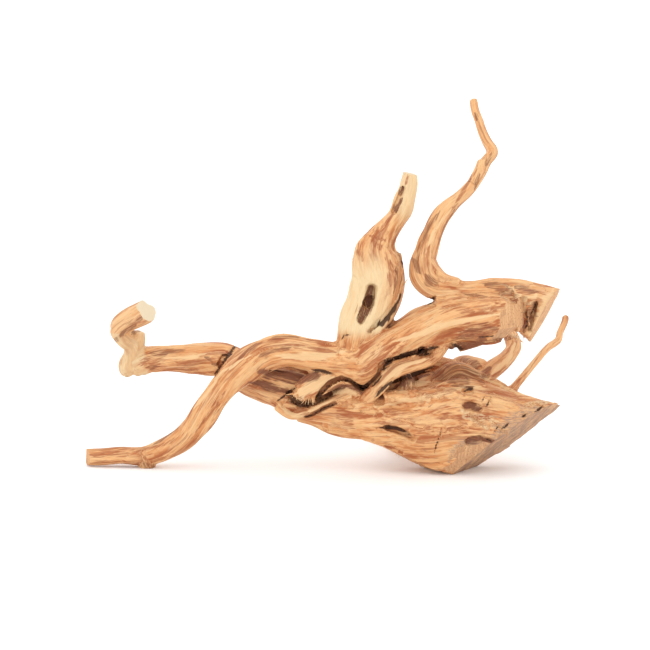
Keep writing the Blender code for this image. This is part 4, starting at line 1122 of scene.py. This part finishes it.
def wood_finish(colours):
    """Azalea sapwood, stripped and air dried: matt, with resin-brown streaks and fibres along the grain."""
    material = bpy.data.materials.new("dried_azalea_sapwood")
    material.use_nodes = True
    tree = material.node_tree
    surface = tree.nodes["Principled BSDF"]
    tone = {key: (*getattr(colours, key), 1) for key in colours.__annotations__}
    grain = add_node(tree, "ShaderNodeAttribute", attribute_name="grain").outputs["Vector"]
    # Masks on the mesh: worn ridges, the side that the photograph hides, fresh debarking, marks, hollows
    mask = {}
    for name in (
        "worn", "hidden", "cream", "pale", "rust", "bark", "torn", "sawn_skin", "rot", "shade", "crack_and_crease_shade",
    ):
        mask[name] = add_node(tree, "ShaderNodeAttribute", attribute_name=name).outputs["Fac"]
    # Noise drawn out along the grain: its length and its width in millimetres, then its detail. Real fibres
    # are finer than the last two, which are as coarse as they need be to show
    field = {}
    for name, length, width, detail in (
        ("broad", 46, 8, {"Detail": 2.0}),
        ("blotch", 30, 5.5, {"Detail": 3.0, "Roughness": 0.6, "Distortion": 0.5}),
        ("streak", 30, 2.6, {"Detail": 3.0, "Roughness": 0.62}),
        ("strand", 24, 1.5, {"Detail": 3.0, "Roughness": 0.6}),
        ("patch", 16, 4.5, {"Detail": 3.0, "Roughness": 0.6, "Distortion": 0.8}),
        ("shreds", 3.4, 0.6, {"Detail": 2.0, "Roughness": 0.6, "Distortion": 0.6}),
        ("fine", 13, 0.8, {"Detail": 2.0, "Roughness": 0.6}),
        ("fibre", 7, 0.4, {"Detail": 1.0}),
    ):
        inputs = {0: grain, 1: (1 / length, 1 / width, 1 / width)}
        drawn = add_node(tree, "ShaderNodeVectorMath", inputs, operation="MULTIPLY").outputs[0]
        inputs = {"Vector": drawn, "Scale": 1.0, **detail}
        field[name] = add_node(tree, "ShaderNodeTexNoise", inputs).outputs[0]
    # Each mark's edge is broken up by noise along the grain
    edge = {}
    for name, noise_name in (
        ("pale", "streak"), ("bark", "streak"), ("rust", "strand"), ("torn", "strand"),
        ("sawn_skin", "strand"), ("rot", "strand"), ("crack_and_crease_shade", "strand"),
    ):
        inputs = {0: field[noise_name], 1: 1.4, 2: mask[name]}
        edge[name] = add_node(tree, "ShaderNodeMath", inputs, operation="MULTIPLY_ADD").outputs[0]
    inside = (1.05, 1.35)

    cream = lay_coats(tree, tone["cream"], [(tone["light"], (field["strand"], 0.48, 0.7, 0.5))])
    shredded = lay_coats(tree, tone["rust"], [(tone["cream"], (field["shreds"], 0.4, 0.56, 1.0))])
    sawn = lay_coats(tree, tone["sawn_grey"], [(tone["sawn"], (field["fine"], 0.4, 0.6, 1.0))])
    colour = lay_coats(tree, tone["deep"], [
        # Sapwood: broad bands, polished strands, resin streaks
        (tone["tan"], (field["broad"], 0.4, 0.6, 1.0)),
        (tone["light"], (field["streak"], 0.47, 0.6, 0.85)),
        (tone["pale"], (field["blotch"], 0.5, 0.62, 0.55)),
        (tone["light"], (mask["worn"], 0.0, 0.8, 0.5)),
        (tone["rust"], (field["strand"], 0.54, 0.66, 0.6)),
        (tone["rust"], (field["broad"], 0.5, 0.4, 1.0), (field["streak"], 0.56, 0.46, 0.5)),
        # Left-over bark in flecks, and in patches where the photograph doesn't reach
        (tone["bark"], (field["fine"], 0.6, 0.74, 0.45)),
        (tone["bark"], (mask["hidden"],), (field["patch"], 0.54, 0.66, 0.8)),
        (cream, (mask["cream"],)),
        # The marks, in the order they lie over each other: the pale ones hold painted highlights, and the
        # bark, rot and crease ones painted shade
        (tone["pale"], (edge["pale"], *inside, 0.85)),
        (tone["rust"], (edge["rust"], *inside, 0.85), (field["fine"], 0.65, 0.4, 0.9)),
        (tone["bark"], (edge["bark"], *inside, 0.85), (field["fine"], 0.72, 0.42, 0.9)),
        (shredded, (edge["torn"], *inside, 0.65)),
        (sawn, (edge["sawn_skin"], *inside, 0.85)),
        (tone["rot"], (edge["rot"], *inside, 1.0), (field["fibre"], 0.15, 0.5, 0.95)),
        # Painted shade in what is shut in: rot brown, and darkest where most shut in
        (tone["rot"], (mask["shade"], 0.28, 0.62, 0.7)),
        (tone["crack_and_crease_shade"], (mask["shade"], 0.55, 0.9, 0.85)),
        (tone["crack_and_crease_shade"], (edge["crack_and_crease_shade"], *inside, 0.95)),
    ])
    # Each fibre is a little lighter or darker than the next
    inputs = {"Value": field["fibre"], "To Min": 0.86, "To Max": 1.1}
    shine = add_node(tree, "ShaderNodeMapRange", inputs).outputs[0]
    shine = add_node(tree, "ShaderNodeCombineColor", {0: shine, 1: shine, 2: shine}).outputs[0]
    inputs = {0: 1.0, 6: colour, 7: shine}
    colour = add_node(tree, "ShaderNodeMix", inputs, data_type="RGBA", blend_type="MULTIPLY").outputs[2]
    tree.links.new(colour, surface.inputs["Base Color"])

    inputs = {"Value": field["streak"], "To Min": 0.72, "To Max": 0.5}
    tree.links.new(add_node(tree, "ShaderNodeMapRange", inputs).outputs[0], surface.inputs["Roughness"])
    surface.inputs["Specular IOR Level"].default_value = 0.35
    inputs = {0: field["fine"], 1: field["fibre"]}
    height = add_node(tree, "ShaderNodeMath", inputs, operation="ADD").outputs[0]
    bump = add_node(tree, "ShaderNodeBump", {"Height": height, "Strength": 0.55, "Distance": 0.35 * MM})
    tree.links.new(bump.outputs[0], surface.inputs["Normal"])
    return material


def sawn_finish(colours):
    """Sawn end grain of azalea: matt and open-pored, with narrow growth rings crossed by the saw's teeth."""
    material = bpy.data.materials.new("sawn_azalea_end_grain")
    material.use_nodes = True
    tree = material.node_tree
    surface = tree.nodes["Principled BSDF"]
    tone = {key: (*getattr(colours, key), 1) for key in colours.__annotations__}
    place = add_node(tree, "ShaderNodeAttribute", attribute_name="cut_plane").outputs["Vector"]
    aged = add_node(tree, "ShaderNodeAttribute", attribute_name="aged").outputs["Fac"]
    fresh = add_node(tree, "ShaderNodeAttribute", attribute_name="cream").outputs["Fac"]
    # Noise on the cut's plane: stains 8 and 6 mm wide, the teeth's scores 1.7 mm apart and 20 mm long, and
    # pores of 1.1 by 1.5 mm, which are as coarse as they need be to show
    field = {}
    for name, cells, detail in (
        ("warp", (0.12, 0.12, 0.12), {"Detail": 2.0}),
        ("blotch", (0.156, 0.156, 0.156), {"Detail": 4.0}),
        ("kerf", (0.6, 0.05, 1), {"Detail": 3.0, "Roughness": 0.7}),
        ("pores", (0.9, 0.65, 1), {"Detail": 2.0}),
    ):
        drawn = add_node(tree, "ShaderNodeVectorMath", {0: place, 1: cells}, operation="MULTIPLY").outputs[0]
        inputs = {"Vector": drawn, "Scale": 1.0, **detail}
        field[name] = add_node(tree, "ShaderNodeTexNoise", inputs).outputs[0]
    # Growth rings 2 mm apart
    rings = add_node(
        tree, "ShaderNodeTexWave",
        {"Vector": place, "Scale": 0.16, "Distortion": 7.0, "Detail": 2.0, "Detail Scale": 0.6},
        wave_type="RINGS", rings_direction="Z",
    ).outputs[1]
    colour = lay_coats(tree, tone["sawn"], [
        (tone["sawn_grey"], (aged,)),
        (tone["sawn"], (field["blotch"], 0.44, 0.6, 0.6)),
        (tone["deep"], (rings, 0.3, 0.9, 0.18)),
        (tone["bark"], (field["kerf"], 0.48, 0.36, 0.25)),
        (tone["pale"], (field["kerf"], 0.52, 0.64, 0.55)),
        (tone["bark"], (field["warp"], 0.54, 0.66, 0.25)),
        (tone["rot"], (field["pores"], 0.58, 0.68, 0.6)),
        (tone["fresh"], (fresh, 0.0, 1.0, 0.92)),
    ])
    tree.links.new(colour, surface.inputs["Base Color"])
    surface.inputs["Roughness"].default_value = 0.78
    surface.inputs["Specular IOR Level"].default_value = 0.3
    inputs = {0: field["kerf"], 1: field["warp"]}
    height = add_node(tree, "ShaderNodeMath", inputs, operation="ADD").outputs[0]
    bump = add_node(tree, "ShaderNodeBump", {"Height": height, "Strength": 0.8, "Distance": 0.6 * MM})
    tree.links.new(bump.outputs[0], surface.inputs["Normal"])
    return material


def fibre_finish(colours):
    """A fresh tear's fibres: pale, dry and matt, darker towards the foot."""
    material = bpy.data.materials.new("torn_azalea_fibre")
    material.use_nodes = True
    tree = material.node_tree
    surface = tree.nodes["Principled BSDF"]
    share = add_node(tree, "ShaderNodeAttribute", attribute_name="tip").outputs["Fac"]
    colour = add_node(
        tree, "ShaderNodeMix", {0: share, 6: (*colours.tan, 1), 7: (*colours.pale, 1)}, data_type="RGBA"
    ).outputs[2]
    tree.links.new(colour, surface.inputs["Base Color"])
    surface.inputs["Roughness"].default_value = 0.7
    surface.inputs["Specular IOR Level"].default_value = 0.3
    return material


def plain_finish(name, colour, roughness):
    """Smooth matt table top."""
    material = bpy.data.materials.new(name)
    material.use_nodes = True
    surface = material.node_tree.nodes["Principled BSDF"]
    surface.inputs["Base Color"].default_value = (*colour, 1)
    surface.inputs["Roughness"].default_value = roughness
    return material


class GrowWood(bpy.types.Operator):
    """Grow the stripped wood round its roots, with its relief, hollows and saw cuts"""

    bl_idname = "spiderwood.grow_wood"
    bl_label = "Grow wood"

    def execute(self, context):
        form, colours = context.scene.spiderwood_form, context.scene.spiderwood_colours
        wood = fuse_roots([lay_track(stations) for stations in ROOTS.values()], form)
        lines = grain_lines()
        tracks = [lay_track(stations) for stations in lines.values()]
        press_hollows(wood.data)
        raise_grain(wood.data, tracks, form)
        apply_modifier(wood, "DECIMATE", ratio=min(1, form.triangles / (2 * len(wood.data.polygons))))
        keep_in_solid_box(wood.data)
        for cut in (*SAW_CUTS.values(), *FINE_CUTS.values(), FLOOR_CUT):
            saw(wood, *cut)
        wood.data.materials.clear()
        wood.data.materials.append(wood_finish(colours))
        wood.data.materials.append(sawn_finish(colours))
        wood.data.shade_smooth()
        write_marks(wood.data, lines, tracks)
        mark_sawn_faces(wood.data)
        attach(wood, "root")
        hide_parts(NODE)
        return {"FINISHED"}


def torn_fibre(length, girth):
    """One splinter along +Z: a four-sided spike, bent and drawn to a point, with its foot at the origin."""
    bpy.ops.object.select_all(action="DESELECT")
    bpy.ops.mesh.primitive_cone_add(
        vertices=4, radius1=girth / 2, radius2=girth / 12, depth=length, location=(0, 0, length / 2),
        end_fill_type="NGON",
    )
    splinter = bpy.context.object
    bpy.ops.object.transform_apply(location=True, rotation=True, scale=True)
    bpy.ops.object.mode_set(mode="EDIT")
    bpy.ops.mesh.select_all(action="SELECT")
    bpy.ops.mesh.bisect(plane_co=(0, 0, 0.35 * length), plane_no=(0, 0, 1))
    bpy.ops.mesh.select_all(action="SELECT")
    bpy.ops.mesh.bisect(plane_co=(0, 0, 0.7 * length), plane_no=(0, 0, 1))
    bpy.ops.object.mode_set(mode="OBJECT")
    return splinter


class TearFibres(bpy.types.Operator):
    """Set the torn fibres and splinters in tufts along the breaks"""

    bl_idname = "spiderwood.tear_fibres"
    bl_label = "Tear fibres"

    def execute(self, context):
        form, colours = context.scene.spiderwood_form, context.scene.spiderwood_colours
        wood = bpy.data.objects["stripped_wood"]
        points, _ = read_points(wood.data)
        tree = tree_of(wood.data, points)
        chance = np.random.default_rng(FIBRE_SEED)
        pattern = torn_fibre(1.0, 1.0)
        copies = []
        for line, count, length, thick, way in TUFTS.values():
            spots, _ = spots_on_wood(tree, line)
            for _ in range(count):
                foot = Vector(spots[chance.integers(len(spots))]) + Vector(chance.normal(0, FOOT_SCATTER, 3))
                foot, skin, _, _ = tree.find_nearest(foot)
                aim = Vector((way[0], 0, -way[1])).normalized() + Vector(chance.normal(0, AIM_SPREAD, 3))
                aim = (aim - skin * min(0, aim.dot(skin)) + SKIN_LEAN * skin).normalized()
                reach = length * chance.uniform(*FIBRE_LENGTHS)
                girth = thick * chance.uniform(*FIBRE_GIRTHS)
                size = Matrix.Diagonal((girth, girth * FIBRE_FLATNESS, reach, 1))
                bend = Vector((*chance.normal(0, form.fibre_bend, 2), 0)) * reach
                fibre = pattern.copy()
                fibre.data = pattern.data.copy()
                fibre.data.transform(size)
                for vertex in fibre.data.vertices:
                    vertex.co += bend * (vertex.co.z / reach) ** 2
                turn = aim.to_track_quat("Z", "Y").to_matrix().to_4x4()
                spin = Matrix.Rotation(chance.uniform(0, math.tau), 4, "Z")
                place = Matrix.Translation(foot - FOOT_DEPTH * aim)
                tips = [vertex.co.z / reach for vertex in fibre.data.vertices]
                set_float(fibre.data, "tip", np.clip(np.array(tips), 0, 1))
                fibre.data.transform(Matrix.Scale(MM, 4) @ place @ turn @ spin)
                bpy.context.scene.collection.objects.link(fibre)
                copies.append(fibre)
        bpy.data.objects.remove(pattern)
        bpy.ops.object.select_all(action="DESELECT")
        for fibre in copies:
            fibre.select_set(True)
        fibres = copies[0]
        bpy.context.view_layer.objects.active = fibres
        bpy.ops.object.join()
        fibres.name = "torn_fibres"
        fibres.data.name = "torn_fibres"
        keep_in_solid_box(fibres.data)
        fibres.data.materials.append(fibre_finish(colours))
        fibres.data.shade_smooth()
        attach(fibres, "root")
        return {"FINISHED"}


def softbox(name, place, size, aim, power):
    """A square soft light that faces its aim."""
    bpy.ops.object.light_add(type="AREA", location=place)
    light = bpy.context.object
    light.name = name
    light.data.size = size
    light.data.energy = power
    light.rotation_euler = (Vector(aim) - Vector(place)).to_track_quat("-Z", "Y").to_euler()
    return light


class SetStudio(bpy.types.Operator):
    """Set the white table, the soft lights and the camera at the photograph's angle"""

    bl_idname = "spiderwood.set_studio"
    bl_label = "Set studio"

    def execute(self, context):
        scene, studio = context.scene, context.scene.spiderwood_studio
        bpy.ops.mesh.primitive_plane_add(size=TABLE_SIDE)
        table = bpy.context.object
        table.name = "table"
        table.data.materials.append(plain_finish("matt_white_table", studio.floor, 0.9))
        scene.world = bpy.data.worlds.new("white_surround")
        scene.world.use_nodes = True
        sky = scene.world.node_tree.nodes["Background"]
        sky.inputs["Color"].default_value = (1, 1, 1, 1)
        sky.inputs["Strength"].default_value = studio.sky
        aim = Vector(studio.aim)
        softbox("top_softbox", *TOP_SOFTBOX, aim, studio.top_light)
        softbox("left_softbox", *LEFT_SOFTBOX, aim, studio.side_light)
        forward = Vector((0, math.cos(studio.tilt), -math.sin(studio.tilt)))
        bpy.ops.object.camera_add(location=aim - forward * studio.distance)
        camera = bpy.context.object
        camera.name = "photo_camera"
        camera.rotation_euler = (math.pi / 2 - studio.tilt, 0, 0)
        camera.data.lens = studio.lens
        camera.data.sensor_width = SENSOR
        camera.data.clip_start = 0.05
        camera.data.dof.use_dof = False
        scene.camera = camera
        scene.view_settings.view_transform = "Standard"
        return {"FINISHED"}


class SpiderwoodPanel(bpy.types.Panel):
    """Lists the steps and their settings"""

    bl_idname = "VIEW3D_PT_spiderwood"
    bl_label = "Spiderwood"
    bl_space_type = "VIEW_3D"
    bl_region_type = "UI"
    bl_category = "Spiderwood"

    def draw(self, context):
        for step in STEPS:
            self.layout.operator(step.bl_idname)
        for group in ("spiderwood_form", "spiderwood_colours", "spiderwood_studio"):
            settings = getattr(context.scene, group)
            for name in settings.__annotations__:
                self.layout.prop(settings, name)


SETTINGS = {"spiderwood_form": WoodForm, "spiderwood_colours": WoodColours, "spiderwood_studio": Studio}
STEPS = (SetStudio, GrowWood, TearFibres)


def register():
    for group in (*SETTINGS.values(), *STEPS, SpiderwoodPanel):
        bpy.utils.register_class(group)
    for name, group in SETTINGS.items():
        setattr(bpy.types.Scene, name, bpy.props.PointerProperty(type=group))


def unregister():
    for name in SETTINGS:
        delattr(bpy.types.Scene, name)
    for group in reversed((*SETTINGS.values(), *STEPS, SpiderwoodPanel)):
        bpy.utils.unregister_class(group)


def main():
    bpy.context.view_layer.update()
    register()
    bpy.ops.spiderwood.set_studio()
    bpy.ops.spiderwood.grow_wood()
    bpy.ops.spiderwood.tear_fibres()


if __name__ == "__main__":
    main()
